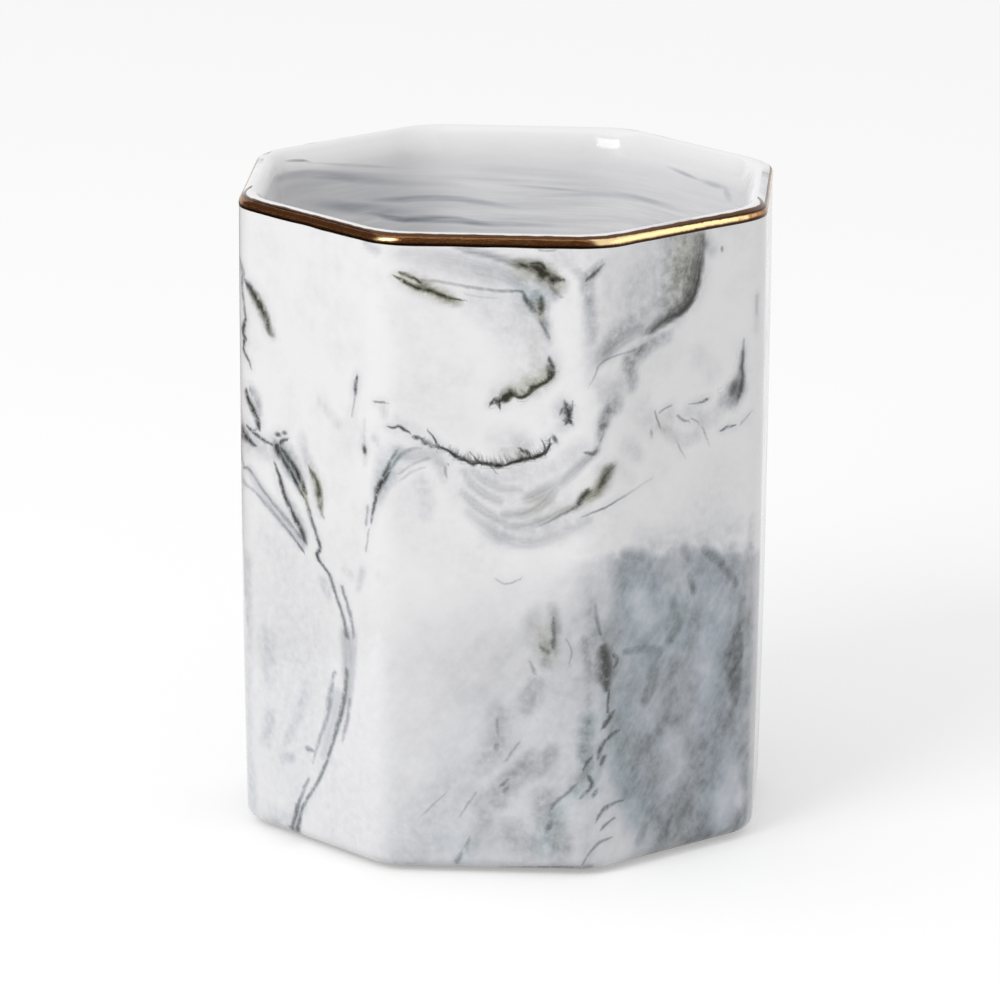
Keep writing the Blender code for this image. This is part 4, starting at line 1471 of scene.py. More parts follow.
lines = (traced(LEFT_LINES_PX, "left") + traced(FRONT_LINES_PX + CORNER_LINES_PX, "front")
         + traced(RIGHT_LINES_PX, "right"))
bands = traced(LEFT_BANDS_PX, "left") + traced(FRONT_BANDS_PX, "front") + traced(RIGHT_BANDS_PX, "right")
fringes = traced(FRONT_FRINGES_PX, "front") + traced(RIGHT_FRINGES_PX, "right")
smoke = traced(LEFT_SMOKE_PX, "left") + traced(FRONT_SMOKE_PX, "front") + traced(RIGHT_SMOKE_PX, "right")
lines += [read_wall_streak(streak) for streak in UNSEEN_LINES_MM]
bands += [read_wall_streak(streak) for streak in UNSEEN_BANDS_MM]
smoke += [read_wall_streak(streak) for streak in UNSEEN_SMOKE_MM]
long_lines = [streak for streak in lines if run_length(streak) >= LEAST_LINE]
dabs = [streak for streak in lines if run_length(streak) < LEAST_LINE]

line_names = lay_all("pigment line", lay_line, long_lines)
dab_names = lay_all("pigment dab", lay_dab, dabs)
band_names = lay_all("pigment band", lay_band, bands)
fringe_names = lay_all("pigment fringe", lay_fringe, fringes)
olive_teal_blue = [soft_ink(traced(cast, "front")) for cast in (OLIVE_PX, TEAL_PX, BLUE_PX)]
store_numbers("casts", numpy.column_stack(olive_teal_blue))
print("layers:", line_names + dab_names + band_names + fringe_names)

# %% [markdown]
# The lower part of the right side is one bank of settled grey with a soft, wandering top, and the front has
# a thinner veil of it. Three numbers a point describe it: how far the point lies below the bank's top, how
# soft the top is there, and how deep the grey. A second set holds the smoke, the halo and the darker patches
# inside the bank.

# %% Lay the cloud
CLOUD_TOP_PX = ((378, 620), (410, 600), (440, 590), (500, 580), (560, 566), (590, 556), (606, 552),
                (620, 551), (650, 547), (680, 545), (700, 540), (715, 548), (745, 545))
CLOUD_FAR_TOPS = ((-70, 44), (-40, 40))
CLOUD_END_TOP = (70, 44)
CLOUD_SOFTNESS = ((-70, 14), (-40, 14), (-16, 16), (8, 12), (13, 6), (15.5, 3), (49, 3), (66, 6))
CLOUD_DEPTHS = ((-70, 0.26), (-54, 0.12), (-46, 0.04), (-22, 0.02), (-17.5, 0.03), (-15, 0.1), (-8, 0.16),
                (0, 0.21), (9, 0.25), (13.4, 0.28), (14.6, 0.32), (15.4, 0.42), (19, 0.45), (24, 0.46),
                (45, 0.5), (48, 0.47), (49.4, 0.28), (70, 0.28))
CLOUD_DEEPENS = 0.3  # towards the foot
CLOUD_DEEPENS_FROM = 50.0


def lay_cloud():
    """Stores the cloud's numbers, and those of everything soft."""
    tops = [on_wall(x, y) for x, y in CLOUD_TOP_PX]
    tops = [*CLOUD_FAR_TOPS, *((place.x, place.y) for place in tops), CLOUD_END_TOP]
    round_wall, up = PLACES.T
    below_top = numpy.interp(round_wall, *zip(*tops)) - up
    softness = numpy.interp(round_wall, *zip(*CLOUD_SOFTNESS))
    depth = numpy.interp(round_wall, *zip(*CLOUD_DEPTHS))
    depth *= 1 + CLOUD_DEEPENS * ease(-up, -CLOUD_DEEPENS_FROM, 0.0)
    depth *= 1 - soft_ink(traced(CLOUD_LIGHT_PX, "right"))
    store_numbers("cloud", numpy.column_stack((below_top, softness, depth)))
    halo = soft_ink([halo_of(streak) for streak in lines])
    patches = soft_ink(traced(CLOUD_SMOKE_PX, "right"))
    store_numbers("soft ink", numpy.column_stack((soft_ink(smoke), halo, patches)))


lay_cloud()
store_numbers("wall place", numpy.column_stack((PLACES, numpy.zeros(len(PLACES)))))
print("attributes of the mesh:", len(tumbler.data.attributes))

# %% [markdown]
# ## Reading the layers back
#
# Each kind of layer has a small group of nodes that turns its three numbers into ink. Fray is a noise, in
# millimetres, that is added to every distance first: it combs and frays the edges, as the slip does when it
# drags the pigment. Each group passes on whichever is darker, its own ink or the ink it was given.

# %% Layer groups
def split_numbers(web, numbers):
    """The three numbers of a layer."""
    parts = web.add("ShaderNodeSeparateXYZ", {0: numbers}).outputs
    return parts["X"], parts["Y"], parts["Z"]


def join_numbers(web, x, y, z=0.0):
    """A vector of three numbers."""
    return web.add("ShaderNodeCombineXYZ", {"X": x, "Y": y, "Z": z}).outputs[0]


def draw_line(web, given, aside, half, most):
    """Ink of a line, whose edge frays less where it is thin."""
    shift = web.math("MULTIPLY", given["Fray"], web.between(half, 0.2, 1.0, 0.3, 1.0))
    gap = web.math("ABSOLUTE", web.math("ADD", aside, shift))
    return web.between(gap, web.math("MULTIPLY", half, 0.95), 0.0, 0.0, most)


def draw_dab(web, given, along, across, most):
    """Ink of a dab, which is an ellipse."""
    gap = web.math("ADD", web.vector("LENGTH", join_numbers(web, along, across)), given["Fray"])
    return web.between(gap, 1.15, 0.2, 0.0, most)


def draw_band(web, given, along, aside, most):
    """Ink of a band, with fibres along it."""
    frayed = web.math("ADD", aside, given["Fray"])
    place = join_numbers(web, web.math("DIVIDE", along, given["Fibre length"]),
                         web.math("DIVIDE", frayed, given["Fibre width"]))
    fibres = web.math("MULTIPLY_ADD", web.around_zero(place, 1.0, 3, 0.6), given["Contrast"], 1.0)
    return web.math("MULTIPLY", most, fibres)


def draw_fringe(web, given, along, share, most):
    """Ink of a fringe: hairs of many lengths that stand on the root."""
    shifted = web.math("MULTIPLY_ADD", share, given["Lean"], web.math("ADD", along, given["Fray"]))
    place = join_numbers(web, web.math("DIVIDE", shifted, given["Hair width"]),
                         web.math("MULTIPLY", share, 0.6))
    tip = web.between(web.noise(place, 1.0, 2, 0.6), 0.32, 0.72, 0.12, 1.25)
    body = web.between(share, tip, web.math("MULTIPLY", tip, -0.2))
    root = web.between(share, -1.0, -0.1)
    return web.math("MULTIPLY", web.math("MULTIPLY", body, root), most)


def make_layer_group(name, draw, *settings):
    """A group that draws one layer over the ink below it."""
    tree, web, given, result = start_group(name, ["Numbers"], ["Fray", "Below", *settings], Ink=NUMBER)
    ink = draw(web, given, *split_numbers(web, given["Numbers"]))
    web.give(result, Ink=web.math("MAXIMUM", ink, given["Below"]))
    return tree


LINE = make_layer_group("Line of pigment", draw_line)
DAB = make_layer_group("Dab of pigment", draw_dab)
BAND = make_layer_group("Band of pigment", draw_band, "Fibre length", "Fibre width", "Contrast")
FRINGE = make_layer_group("Fringe of pigment", draw_fringe, "Hair width", "Lean")
print("groups that draw:", [group.name for group in (LINE, DAB, BAND, FRINGE)])

# %% [markdown]
# ## Fray, fibres and grain
#
# Three noises serve every layer. Fray bends edges. Fibres are noise stretched along a lean. Grain is the way
# pigment settles, in blotches with finer speckle in them.

# %% Noise groups
FINE_FRAY = 4.3  # how many times finer the fine fray is


def make_fray_group():
    """Noise in millimetres, coarse and fine, around zero."""
    sizes = ["Size", "Shift", "Fine shift"]
    tree, web, given, result = start_group("Fray", ["Solid place"], sizes, Fray=NUMBER)
    sized = web.scale(given["Solid place"], web.math("DIVIDE", 1.0, given["Size"]))
    coarse = web.math("MULTIPLY", web.around_zero(sized, 1.0, 1), given["Shift"])
    fine = web.around_zero(sized, FINE_FRAY, 2)
    web.give(result, Fray=web.math("MULTIPLY_ADD", fine, given["Fine shift"], coarse))
    return tree


def make_fibre_group():
    """Noise stretched along a lean, from 0 to 1."""
    sizes = ["Lean", "Length", "Width", "Contrast"]
    tree, web, given, result = start_group("Fibres", ["Place"], sizes, Fibres=NUMBER)
    inputs = {"Vector": given["Place"], "Angle": given["Lean"]}
    turned = web.add("ShaderNodeVectorRotate", inputs, rotation_type="Z_AXIS").outputs[0]
    stretch = join_numbers(web, web.math("DIVIDE", 1.0, given["Length"]),
                           web.math("DIVIDE", 1.0, given["Width"]))
    soft = web.around_zero(web.vector("MULTIPLY", turned, stretch), 1.0, 4, 0.6)
    web.give(result, Fibres=web.math("MULTIPLY_ADD", soft, given["Contrast"], 0.5, clamp=True))
    return tree


def make_grain_group():
    """Blotches with finer speckle in them, around 1."""
    tree, web, given, result = start_group(
        "Settled grain", ["Solid place"], ["Size", "Strength"], Grain=NUMBER
    )
    place = web.scale(given["Solid place"], web.math("DIVIDE", 1.0, given["Size"]))
    mottle = web.around_zero(place, 1.0, 6, 0.6)
    web.give(result, Grain=web.math("MULTIPLY_ADD", mottle, given["Strength"], 1.0))
    return tree


FRAY, FIBRES, GRAIN = make_fray_group(), make_fibre_group(), make_grain_group()
print("groups of noise:", [group.name for group in (FRAY, FIBRES, GRAIN)])

# %% [markdown]
# ## The colour of the pigment
#
# Thin pigment over white clay is a cool grey with a hint of violet. Where it is thick it turns to a warm,
# slightly olive black. A colour ramp over the amount of ink gives that turn, and three masks push it to
# olive, to teal or to blue where the photograph shows it.

# %% Pigment colour
GLAZE_WHITE = (0.862, 0.862, 0.868, 1)
INK_COLOURS = (
    (0.0, GLAZE_WHITE),
    (0.22, (0.662, 0.664, 0.690, 1)),
    (0.5, (0.425, 0.436, 0.455, 1)),
    (0.8, (0.178, 0.183, 0.182, 1)),
    (1.0, (0.020, 0.020, 0.017, 1)),
)
CASTS = {"Olive": (1.0, 0.98, 0.80, 1), "Teal": (0.86, 0.99, 1.0, 1), "Blue": (0.84, 0.92, 1.0, 1)}
CAST_FROM, CAST_TO = 0.04, 0.5  # the amounts of ink over which a cast sets in


def make_pigment_group():
    """From ink and three casts to a colour."""
    tree, web, given, result = start_group("Pigment colour", [], ["Ink", *CASTS], Colour=COLOUR)
    ramp = web.add("ShaderNodeValToRGB", {"Fac": given["Ink"]})
    stops = ramp.color_ramp.elements
    while len(stops) < len(INK_COLOURS):
        stops.new(0.5)
    for stop, (place, colour) in zip(stops, INK_COLOURS):
        stop.position = place
        stop.color = colour
    colour = ramp.outputs["Color"]
    for cast, tint in CASTS.items():
        share = web.math("MULTIPLY", given[cast], web.between(given["Ink"], CAST_FROM, CAST_TO), clamp=True)
        colour = web.mix(share, colour, tint, "MULTIPLY")
    web.give(result, Colour=colour)
    return tree


def make_cover_group():
    """Two layers of ink, one over the other."""
    tree, web, given, result = start_group("Over ink", [], ["Ink", "More"], Ink=NUMBER)
    bare, more_bare = (web.math("SUBTRACT", 1.0, given[name]) for name in ("Ink", "More"))
    covered = web.math("SUBTRACT", 1.0, web.math("MULTIPLY", bare, more_bare), clamp=True)
    web.give(result, Ink=covered)
    return tree


PIGMENT, COVER = make_pigment_group(), make_cover_group()
print("casts:", list(CASTS))

# %% [markdown]
# ## The cloud's body
#
# Inside the bank the grey is blotched like a thundercloud, with long soft streaks that all lean one way and
# hardly any fine grain. Its top edge wanders, which is done by adding noise to the distance below the top.

# %% Cloud group
CLOUD_WANDER = 6.5
CLOUD_BLOTCHES = {"Size": 6.0, "Strength": 1.3}
CLOUD_SPECKLE = {"Size": 1.3, "Strength": 0.65}
CLOUD_COMBING = {"Lean": math.radians(-52), "Length": 9.0, "Width": 2.6, "Contrast": 1.8}
COMBED_DEPTH, COMBED_FROM = 0.44, 0.77


def make_cloud_group():
    """The ink of the cloud."""
    places = ["Cloud", "Wall place", "Solid place"]
    tree, web, given, result = start_group("Grey cloud", places, ["Patch"], Ink=NUMBER)
    below_top, softness, depth = split_numbers(web, given["Cloud"])
    solid = given["Solid place"]
    below_top = web.math("MULTIPLY_ADD", web.around_zero(solid, 0.32, 5, 0.55), CLOUD_WANDER, below_top)
    bank = web.between(below_top, web.math("MULTIPLY", softness, -0.5), softness)
    blotches = web.group(GRAIN, {"Solid place": solid, **CLOUD_BLOTCHES})["Grain"]
    combed = web.group(FIBRES, {"Place": given["Wall place"], **CLOUD_COMBING})["Fibres"]
    combed = web.math("MULTIPLY_ADD", combed, COMBED_DEPTH, COMBED_FROM)
    speckle = web.group(GRAIN, {"Solid place": solid, **CLOUD_SPECKLE})["Grain"]
    body = web.math("MULTIPLY", web.math("MULTIPLY", blotches, combed), speckle)
    ink = web.math("MULTIPLY", web.math("MULTIPLY", bank, depth), body)
    patch = web.math("MULTIPLY", web.math("MULTIPLY", given["Patch"], combed), speckle)
    web.give(result, Ink=web.math("MAXIMUM", ink, patch, clamp=True))
    return tree


CLOUD = make_cloud_group()
print("cloud group:", CLOUD.name)

# %% [markdown]
# ## The marbled glaze
#
# Everything comes together here. The pigment lies under a clear glaze, so the gloss is the same over white
# and over black: the colour changes, and the shine does not. Two very shallow ripples keep the reflections
# from looking machined.

# %% Glaze skin
def make_skin_group():
    """Roughness and a normal for a fired glaze."""
    tree, web, given, result = start_group(
        "Fired glaze", ["Solid place"], ["Ripple", "Roughness"], Roughness=NUMBER, Normal=VECTOR
    )
    place = given["Solid place"]
    ripples = web.math("MULTIPLY_ADD", web.noise(place, 0.9, 1), 0.12, web.noise(place, 0.12, 1))
    height = web.math("MULTIPLY", ripples, given["Ripple"])
    rough = web.math("MULTIPLY_ADD", web.noise(place, 0.35, 1), 0.06, given["Roughness"])
    web.give(result, Roughness=rough, Normal=web.bump(height, 0.35, 0.001))
    return tree


SKIN = make_skin_group()


def solid_place(web):
    """Millimetres in space."""
    return web.scale(web.add("ShaderNodeTexCoord", {}).outputs["Object"], MM)


def numbers_of(web, name):
    """Three numbers stored on the mesh."""
    return web.add("ShaderNodeAttribute", {}, attribute_name=name).outputs["Vector"]


def coat_with_glaze(web, shader, solid, colour):
    """Gives a shader its colour and the fired glaze's gloss."""
    skin = web.group(SKIN, {"Solid place": solid, "Ripple": 0.6, "Roughness": 0.08})
    web.give(shader.inputs, Base_Color=colour, Roughness=skin["Roughness"], Normal=skin["Normal"])


# %% [markdown]
# The outside adds its layers up, from the cloud below to the crisp lines above. Over the lip's shoulder it
# turns to gold: the brush left a film there that is too thin to have a body of its own, so it is a colour
# and a metallic mask in this finish, between two heights along the profile. The film's dark brown is partly
# thin gold and partly painted dark reflection.

# %% Marbled outside
WALL_FRAY = {"Size": 1.3, "Shift": 0.6, "Fine shift": 0.5}
WORN_GRAIN = {"Size": 1.1, "Strength": 3.0}
SOFT_GRAIN = {"Size": 1.3, "Strength": 2.4}
BAND_FIBRES = {"Fibre length": 7.0, "Fibre width": 0.45, "Contrast": 1.9}
FRINGE_HAIRS = {"Hair width": 0.32, "Lean": 0.5}
DRIFT_INK = 0.07
LIP_AT = ring_heights[len(underside_profile()) + len(outside_profile())]
CREST_AT = (LIP_AT - LIP_CREST) * MM
FILM_TOP = CREST_AT - LIP_ROUND * MM * math.radians(20)
FILM_FOOT = CREST_AT - LIP_ROUND * MM * math.radians(62)
# Dark brown of the film: partly thin gold, partly painted dark reflection.
FILM_GOLD = (0.12, 0.057, 0.026, 1)


def read_layers(web, group, names, fray, **settings):
    """The darkest ink of several layers of one kind."""
    ink = 0.0
    for name in names:
        inputs = {"Numbers": numbers_of(web, name), "Fray": fray, "Below": ink, **settings}
        ink = web.group(group, inputs)["Ink"]
    return ink


def film_share(web, wall, solid):
    """Where the film of gold lies."""
    height = split_numbers(web, wall)[1]
    edge = web.math("MULTIPLY_ADD", web.around_zero(solid, 0.4, 3), 0.5, height)
    return web.math("MULTIPLY", web.between(edge, FILM_TOP - 0.1, FILM_TOP + 0.1, 1.0, 0.0),
                    web.between(height, FILM_FOOT - 0.05, FILM_FOOT + 0.05))


def make_wall_finish():
    """The marbled outside."""
    material, web, shader = new_finish("marbled glaze")
    solid = solid_place(web)
    wall = numbers_of(web, "wall place")
    fray = web.group(FRAY, {"Solid place": solid, **WALL_FRAY})["Fray"]
    worn = web.group(GRAIN, {"Solid place": solid, **WORN_GRAIN})["Grain"]
    drawn = web.math("MAXIMUM", read_layers(web, LINE, line_names, fray),
                     read_layers(web, DAB, dab_names, fray))
    drawn = web.math("MULTIPLY", drawn, web.math("MINIMUM", worn, 1.0))
    bands = read_layers(web, BAND, band_names, fray, **BAND_FIBRES)
    fringe = read_layers(web, FRINGE, fringe_names, fray, **FRINGE_HAIRS)
    smoke, halo, patch = split_numbers(web, numbers_of(web, "soft ink"))
    soft_grain = web.group(GRAIN, {"Solid place": solid, **SOFT_GRAIN})["Grain"]
    smoke = web.math("MULTIPLY", web.math("MAXIMUM", smoke, halo), soft_grain)
    cloud = web.group(CLOUD, {
        "Cloud": numbers_of(web, "cloud"), "Patch": patch, "Wall place": wall, "Solid place": solid,
    })["Ink"]
    drift = web.between(web.noise(solid, 0.11, 5, 0.62), 0.42, 0.72, 0.0, DRIFT_INK)
    ink = web.math("MAXIMUM", cloud, web.math("MULTIPLY", drift, soft_grain))
    for more in (smoke, bands, fringe, drawn):
        ink = web.group(COVER, {"Ink": ink, "More": more})["Ink"]
    casts = dict(zip(CASTS, split_numbers(web, numbers_of(web, "casts"))))
    colour = web.group(PIGMENT, {"Ink": ink, **casts})["Colour"]
    film = film_share(web, wall, solid)
    # Over the lip the film's dark gold is partly thin gold and partly painted dark reflection.
    coat_with_glaze(web, shader, solid, web.mix(film, colour, FILM_GOLD))
    web.give(shader.inputs, Metallic=film)
    return material


wall_finish = make_wall_finish()
print("nodes in the wall's finish:", len(wall_finish.node_tree.nodes))

# %% [markdown]
# ## The hollow
#
# Inside, the slip was swirled round as it drained, so the grey lies in soft level sweeps. There are only a
# few of them, so each is an ellipse that the shader works out by itself from the place on the unrolled wall.
# Its ends are picked in the photograph, like those of the streaks outside, and level fibres break it up.

# %% Hollow streaks
HOLLOW_WHITE = 222
HOLLOW_STREAKS_PX = (
    ((284, 161), (312, 162), 3, 165),
    ((300, 163), (400, 168), 3, 203),
    ((262, 188), (440, 194), 30, 208),
    ((272, 179), (440, 184), 8, 195),
    ((300, 204), (420, 212), 12, 190),
    ((360, 200), (520, 208), 6, 192),
    ((388, 219), (494, 226), 6, 180),
    ((372, 214), (440, 222), 5, 180),
    ((430, 223), (560, 226), 5, 195),
    ((440, 166), (640, 184), 9, 214),
    ((430, 178), (630, 190), 4, 212),
    ((500, 184), (612, 194), 3, 208),
    ((590, 190), (690, 214), 5, 208),
    ((530, 196), (680, 206), 5, 212),
    ((668, 167), (702, 181), 4, 194),
    ((698, 180), (731, 190), 6, 200),
    ((724, 186), (731, 203), 8, 206),
    ((300, 172), (420, 176), 5, 210),
)
AROUND_MM = PERIMETER * MM
MOST_SWEEP = 9.0
SWEEP_LONG, SWEEP_THICK = 0.6, 0.7  # reaches of a sweep, as shares of its length and thickness


def make_sweep_group():
    """Ink of one soft ellipse on the unrolled wall."""
    tree, web, given, result = start_group(
        "Sweep in the hollow", ["Place", "Centre", "Reach"], ["Lean", "Ink", "Fray", "Below"], Ink=NUMBER
    )
    inputs = {"Vector": given["Place"], "Center": given["Centre"], "Angle": given["Lean"]}
    turned = web.add("ShaderNodeVectorRotate", inputs, rotation_type="Z_AXIS").outputs[0]
    aside = web.vector("DIVIDE", web.vector("SUBTRACT", turned, given["Centre"]), given["Reach"])
    gap = web.math("ADD", web.vector("LENGTH", aside), given["Fray"])
    bare = web.between(gap, 0.25, 1.1, web.math("SUBTRACT", 1.0, given["Ink"]), 1.0)
    bare = web.math("MULTIPLY", bare, web.math("SUBTRACT", 1.0, given["Below"]))
    web.give(result, Ink=web.math("SUBTRACT", 1.0, bare))
    return tree


def hollow_spot(x, y):
    """Where a pixel lies on the hollow's wall, counted round from the front without a break at the back."""
    place = on_wall(x, y)
    return Vector((place.x % AROUND_MM, place.y, 0))


def sweep_settings(first, last, thickness, grey):
    """A sweep's centre, reach, lean and ink."""
    start, end = hollow_spot(*first), hollow_spot(*last)
    x, y = (first[0] + last[0]) / 2, (first[1] + last[1]) / 2
    tall = (hollow_spot(x, y - thickness / 2) - hollow_spot(x, y + thickness / 2)).length
    return {
        "Centre": (start + end) / 2,
        "Reach": ((end - start).length * SWEEP_LONG, min(tall * SWEEP_THICK, MOST_SWEEP), 1.0),
        "Lean": -math.atan2(end.y - start.y, end.x - start.x),
        "Ink": to_ink(grey, HOLLOW_WHITE),
    }


SWEEP = make_sweep_group()
print("a sweep's settings:", sweep_settings(*HOLLOW_STREAKS_PX[0]))

# %% [markdown]
# The finish lays the sweeps over one another and lets level fibres run through them. Below the lip the hollow
# is painted a little greyer and bluer, with the same fibres in it: partly the glaze's own tint and partly
# painted shade inside the hollow.

# %% Finish of the hollow
SWIRL_ALONG, SWIRL_UP = 0.05, 0.85  # how fine the fibres are round the wall and up it
FIBRE_FRAY = 1.2
SWEEP_CONTRAST = 2.0
# Greyer and bluer below the lip: partly the glaze's tint, partly painted shade inside the hollow.
LEVEL_INK = 0.07
LEVEL_CONTRAST = 7.5
LEVEL_BLUE = 5.0
LEVEL_FROM, LEVEL_TO = LIP_AT * MM + 3.0, LIP_AT * MM + 14.0


def make_hollow_finish():
    """The inside of the tumbler."""
    material, web, shader = new_finish("streaked glaze inside")
    solid = solid_place(web)
    place = web.scale(web.add("ShaderNodeUVMap", {}, uv_map="unrolled").outputs[0], MM)
    round_wall, up, _ = split_numbers(web, place)
    wall = join_numbers(web, web.math("FLOORED_MODULO", round_wall, AROUND_MM), up)
    x, y, _ = split_numbers(web, solid)
    swirl = join_numbers(web, web.math("MULTIPLY", x, SWIRL_ALONG), web.math("MULTIPLY", y, SWIRL_ALONG),
                         web.math("MULTIPLY", up, SWIRL_UP))
    fibres = web.around_zero(swirl, 1.0, 5, 0.62)
    fray = web.math("MULTIPLY", fibres, FIBRE_FRAY)
    ink = 0.0
    for streak in HOLLOW_STREAKS_PX:
        inputs = {"Place": wall, "Below": ink, "Fray": fray, **sweep_settings(*streak)}
        ink = web.group(SWEEP, inputs)["Ink"]
    ink = web.math("MULTIPLY", ink, web.math("MULTIPLY_ADD", fibres, SWEEP_CONTRAST, 1.0))
    # Painted a little greyer and bluer below the lip: partly the glaze's tint, partly painted shade.
    deep = web.between(up, LEVEL_FROM, LEVEL_TO, 0.0, LEVEL_INK)
    level = web.math("MULTIPLY", deep, web.math("MULTIPLY_ADD", fibres, LEVEL_CONTRAST, 1.0))
    ink = web.math("ADD", ink, level, clamp=True)
    blue = web.math("MULTIPLY", deep, LEVEL_BLUE)
    colour = web.group(PIGMENT, {"Ink": ink, "Olive": 0.0, "Teal": 0.0, "Blue": blue})["Colour"]
    coat_with_glaze(web, shader, solid, colour)
    return material


hollow_finish = make_hollow_finish()
print("sweeps in the hollow:", len(HOLLOW_STREAKS_PX))

# %% [markdown]
# ## The foot
#
# The ring that the tumbler stands on in the kiln is wiped clean of glaze, or it would weld itself to the
# shelf. It shows bare clay: off-white, dull and a little sandy. The recess inside it is glazed plain.

# %% Foot finishes
BARE_CLAY = (0.66, 0.64, 0.60, 1)
SANDY_CLAY = (0.52, 0.49, 0.45, 1)
RECESS_INKS = (0.02, 0.3)


def make_clay_finish():
    """Unglazed clay."""
    material, web, shader = new_finish("bare clay")
    grain = web.noise(solid_place(web), 2.4, 4, 0.7)
    web.give(
        shader.inputs, Base_Color=web.mix(web.between(grain, 0.4, 0.75), BARE_CLAY, SANDY_CLAY),
        Normal=web.bump(grain, 0.5, 0.0001), Roughness=web.between(grain, 0.3, 0.7, 0.7, 0.85),
    )
    return material


def make_recess_finish():
    """Plain glaze under the foot, with a few grey clouds."""
    material, web, shader = new_finish("plain glaze below")
    solid = solid_place(web)
    ink = web.between(web.noise(solid, 0.07, 4, 0.55), 0.45, 0.75, *RECESS_INKS)
    colour = web.group(PIGMENT, {"Ink": ink, "Olive": 0.0, "Teal": 0.0, "Blue": 0.0})["Colour"]
    coat_with_glaze(web, shader, solid, colour)
    return material


# %% [markdown]
# Each ring of the profile names the stretch of the tumbler that it starts, so the faces up to the next ring
# take the finish of that stretch. The two flat caps come last: the middle of the recess under the foot and
# the middle of the hollow's floor.

# %% Finishes onto the tumbler
FINISHES = {
    "recess": make_recess_finish(),
    "foot": make_clay_finish(),
    "outside": wall_finish,
    "hollow": hollow_finish,
}
stretches = list(FINISHES)
for finish in FINISHES.values():
    tumbler.data.materials.append(finish)
choices = [stretches.index(ring[3]) for ring in profile[:-1] for column in range(columns)]
choices += [stretches.index("recess"), stretches.index("hollow")]
tumbler.data.polygons.foreach_set("material_index", choices)
print("finishes on the tumbler:", [finish.name for finish in FINISHES.values()])

# %% [markdown]
# ## The gold
#
# Liquid gold fires to a bright metal, and burns thin and brown along both edges, where the brush left little
# of it.
# In the photograph the line is brown over the front and left sides and turns bright with a pointed start at
# the right-hand corner. That is painted reflection here: the brown stands for dark surroundings mirrored in
# the gold, the bright part for the bright card on the right, and a painted glint sits at the front-left
# corner. Round the back, bright and brown change in slow patches. The dark edges are partly gold burnt thin
# and partly painted dark reflection. The finish reads the line's own two lengths, round it and across it, so
# the dark edges follow the line wherever it goes.

# %% Gold finish
BRIGHT_GOLD = (0.88, 0.66, 0.36, 1)
# Painted dark reflection: the gold's colour where it stands for dark surroundings mirrored in it.
GOLD_IN_DARK_REFLECTION = (0.30, 0.145, 0.065, 1)
# The line's dark edges: partly gold burnt thin, partly painted dark reflection.
BURNT_EDGE_AND_DARK_REFLECTION = (0.045, 0.02, 0.01, 1)
# Between these two pixels the gold keeps its bright colour, a painted reflection of the bright card;
# elsewhere it is painted darker.
BRIGHT_FROM_PX = (594, 243)
BRIGHT_TO_PX = (736, 213)
# A painted highlight: the gold is painted bright round this spot on the front-left corner, on the line's
# lower half.
GLINT_PX = ((374, 232), (400, 236))
POINTED_START = -1.6  # millimetres: the bright part starts later at the line's lower edge
BROKEN_END = 14.0  # how far its end is broken up
# The upper dark edge widens over the bright part: partly burnt gold, partly painted dark reflection.
UPPER_BURN_AND_DARK_REFLECTION = (0.22, 0.44)  # shares of the line's width, where the bright part starts and ends
UPPER_BURN_AND_DARK_REFLECTION_SOFTNESS = 0.14
LOWER_BURN_AND_DARK_REFLECTION = (0.64, 0.88)
BRUSH_STRETCH = (0.6, 0.6, 6.0)


def make_lustre_group():
    """How bright the painted reflection in the gold is and how dark its edges are, from the place round the
    line and the share across it.
    """
    tree, web, given, result = start_group(
        "Gold lustre", ["Solid place"], ["Around", "Across"], Bright=NUMBER, Burnt=NUMBER
    )
    around, across = given["Around"], given["Across"]
    start, end = on_wall(*BRIGHT_FROM_PX).x, on_wall(*BRIGHT_TO_PX).x
    mottle = web.around_zero(given["Solid place"], 1.1, 4, 0.65)
    slow = web.noise(given["Solid place"], 0.05, 3)
    slanted = web.math("MULTIPLY_ADD", web.math("SUBTRACT", across, 0.6), POINTED_START, around)
    rises = web.between(slanted, start - 0.3, start + 0.9)
    broken = web.math("MULTIPLY_ADD", mottle, BROKEN_END, around)
    ends = web.between(broken, end - 2.0, end + 4.0, 1.0, 0.0)
    # Painted highlight of the lamp on the front-left corner.
    glint = [on_wall(*spot).x for spot in GLINT_PX]
    from_glint = web.math("ABSOLUTE", web.math("SUBTRACT", around, sum(glint) / 2))
    near = web.between(from_glint, 0.2, (glint[1] - glint[0]) * 0.8, 0.8, 0.0)
    low = web.between(across, 0.3, 0.6)
    # Round the back the painted reflection turns bright and dark in slow patches.
    far = web.between(web.math("ABSOLUTE", around), end + 4.0, end + 14.0)
    wide = web.math("MULTIPLY", far, web.between(slow, 0.35, 0.6, 0.15, 1.0))
    bright = web.math("MAXIMUM", web.math("MULTIPLY", rises, ends), web.math("MULTIPLY", near, low))
    bright = web.math("MULTIPLY_ADD", mottle, 0.3, web.math("MAXIMUM", bright, wide), clamp=True)
    frayed = web.math("MULTIPLY_ADD", mottle, 0.22, across)
    # Dark edges, partly burnt thin gold and partly painted dark reflection.
    top = web.between(around, start, end, *UPPER_BURN_AND_DARK_REFLECTION)
    upper = web.between(frayed, web.math("SUBTRACT", top, UPPER_BURN_AND_DARK_REFLECTION_SOFTNESS), top, 1.0, 0.0)
    burnt_and_dark_reflection = web.math("MAXIMUM", upper, web.between(frayed, *LOWER_BURN_AND_DARK_REFLECTION), clamp=True)
    web.give(result, Bright=bright, Burnt=burnt_and_dark_reflection)
    return tree


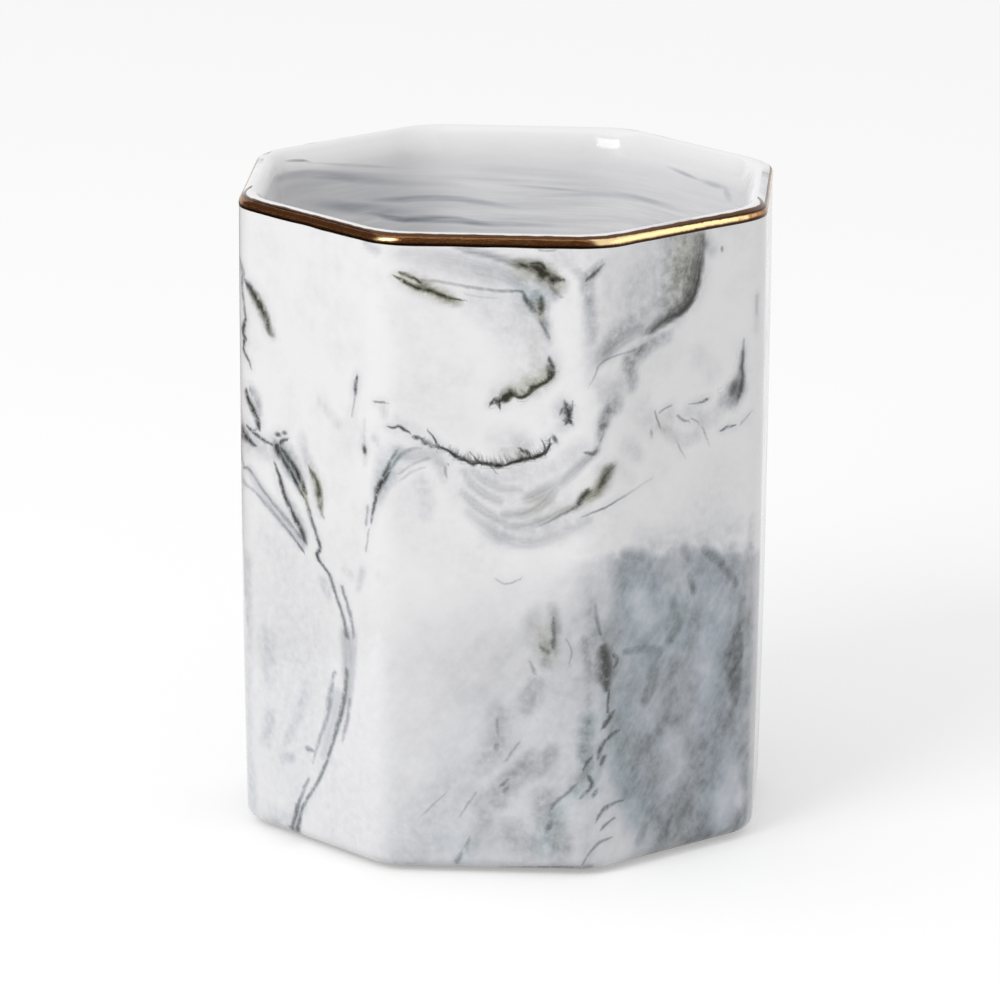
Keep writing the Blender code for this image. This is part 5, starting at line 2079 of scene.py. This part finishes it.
def make_gold_finish():
    """Fired gold, with painted reflection in its colour."""
    material, web, shader = new_finish("gold lustre")
    solid = solid_place(web)
    round_line, across, _ = split_numbers(web, web.add("ShaderNodeUVMap", {}, uv_map="unrolled").outputs[0])
    around = web.math("MULTIPLY", round_line, MM)
    lustre = web.group(make_lustre_group(), {"Around": around, "Across": across, "Solid place": solid})
    # Painted reflection: dark gold where dark surroundings are mirrored, bright gold where the bright card
    # is.
    gold = web.mix(lustre["Bright"], GOLD_IN_DARK_REFLECTION, BRIGHT_GOLD)
    brush = web.noise(web.vector("MULTIPLY", solid, BRUSH_STRETCH), 1.0, 3)
    web.give(
        shader.inputs, Base_Color=web.mix(lustre["Burnt"], gold, BURNT_EDGE_AND_DARK_REFLECTION),
        Roughness=web.between(brush, 0.3, 0.7, 0.12, 0.24), Normal=web.bump(brush, 0.25, 0.0002),
    )
    shader.inputs["Metallic"].default_value = 1
    return material


gold_finish = make_gold_finish()
gilt_line.data.materials.append(gold_finish)
print("finish on the line:", gold_finish.name)

# %% [markdown]
# ## The bumpers' silicone
#
# Poured silicone is milky rather than clear. It is soft to the eye because light goes a little way in, it has
# a satin skin from its mould, and it gathers dust, which shows as faint specks.

# %% Silicone finish
MILKY = (0.70, 0.71, 0.71, 1)
DUSTY = (0.52, 0.52, 0.51, 1)
MILKINESS = 0.35
LIGHT_DEPTH = (0.0012, 0.0012, 0.0012)


def make_silicone_finish():
    """Milky silicone with a satin skin and some dust."""
    material, web, shader = new_finish("milky silicone")
    solid = solid_place(web)
    cloudy = web.noise(solid, 0.5, 3)
    specks = web.between(web.noise(solid, 9.0, 2, 0.6), 0.62, 0.72)
    dust = web.math("MULTIPLY_ADD", specks, 0.6, web.between(cloudy, 0.4, 0.7, 0.0, 0.25), clamp=True)
    web.give(
        shader.inputs, Base_Color=web.mix(dust, MILKY, DUSTY),
        Roughness=web.between(cloudy, 0.3, 0.7, 0.32, 0.46),
        Normal=web.bump(web.noise(solid, 4.0, 3), 0.3, 0.00005),
    )
    shader.inputs["Subsurface Weight"].default_value = MILKINESS
    shader.inputs["Subsurface Radius"].default_value = LIGHT_DEPTH
    return material


silicone_finish = make_silicone_finish()
for bumper in bumpers:
    bumper.data.materials.append(silicone_finish)
print("finish on the bumpers:", silicone_finish.name)
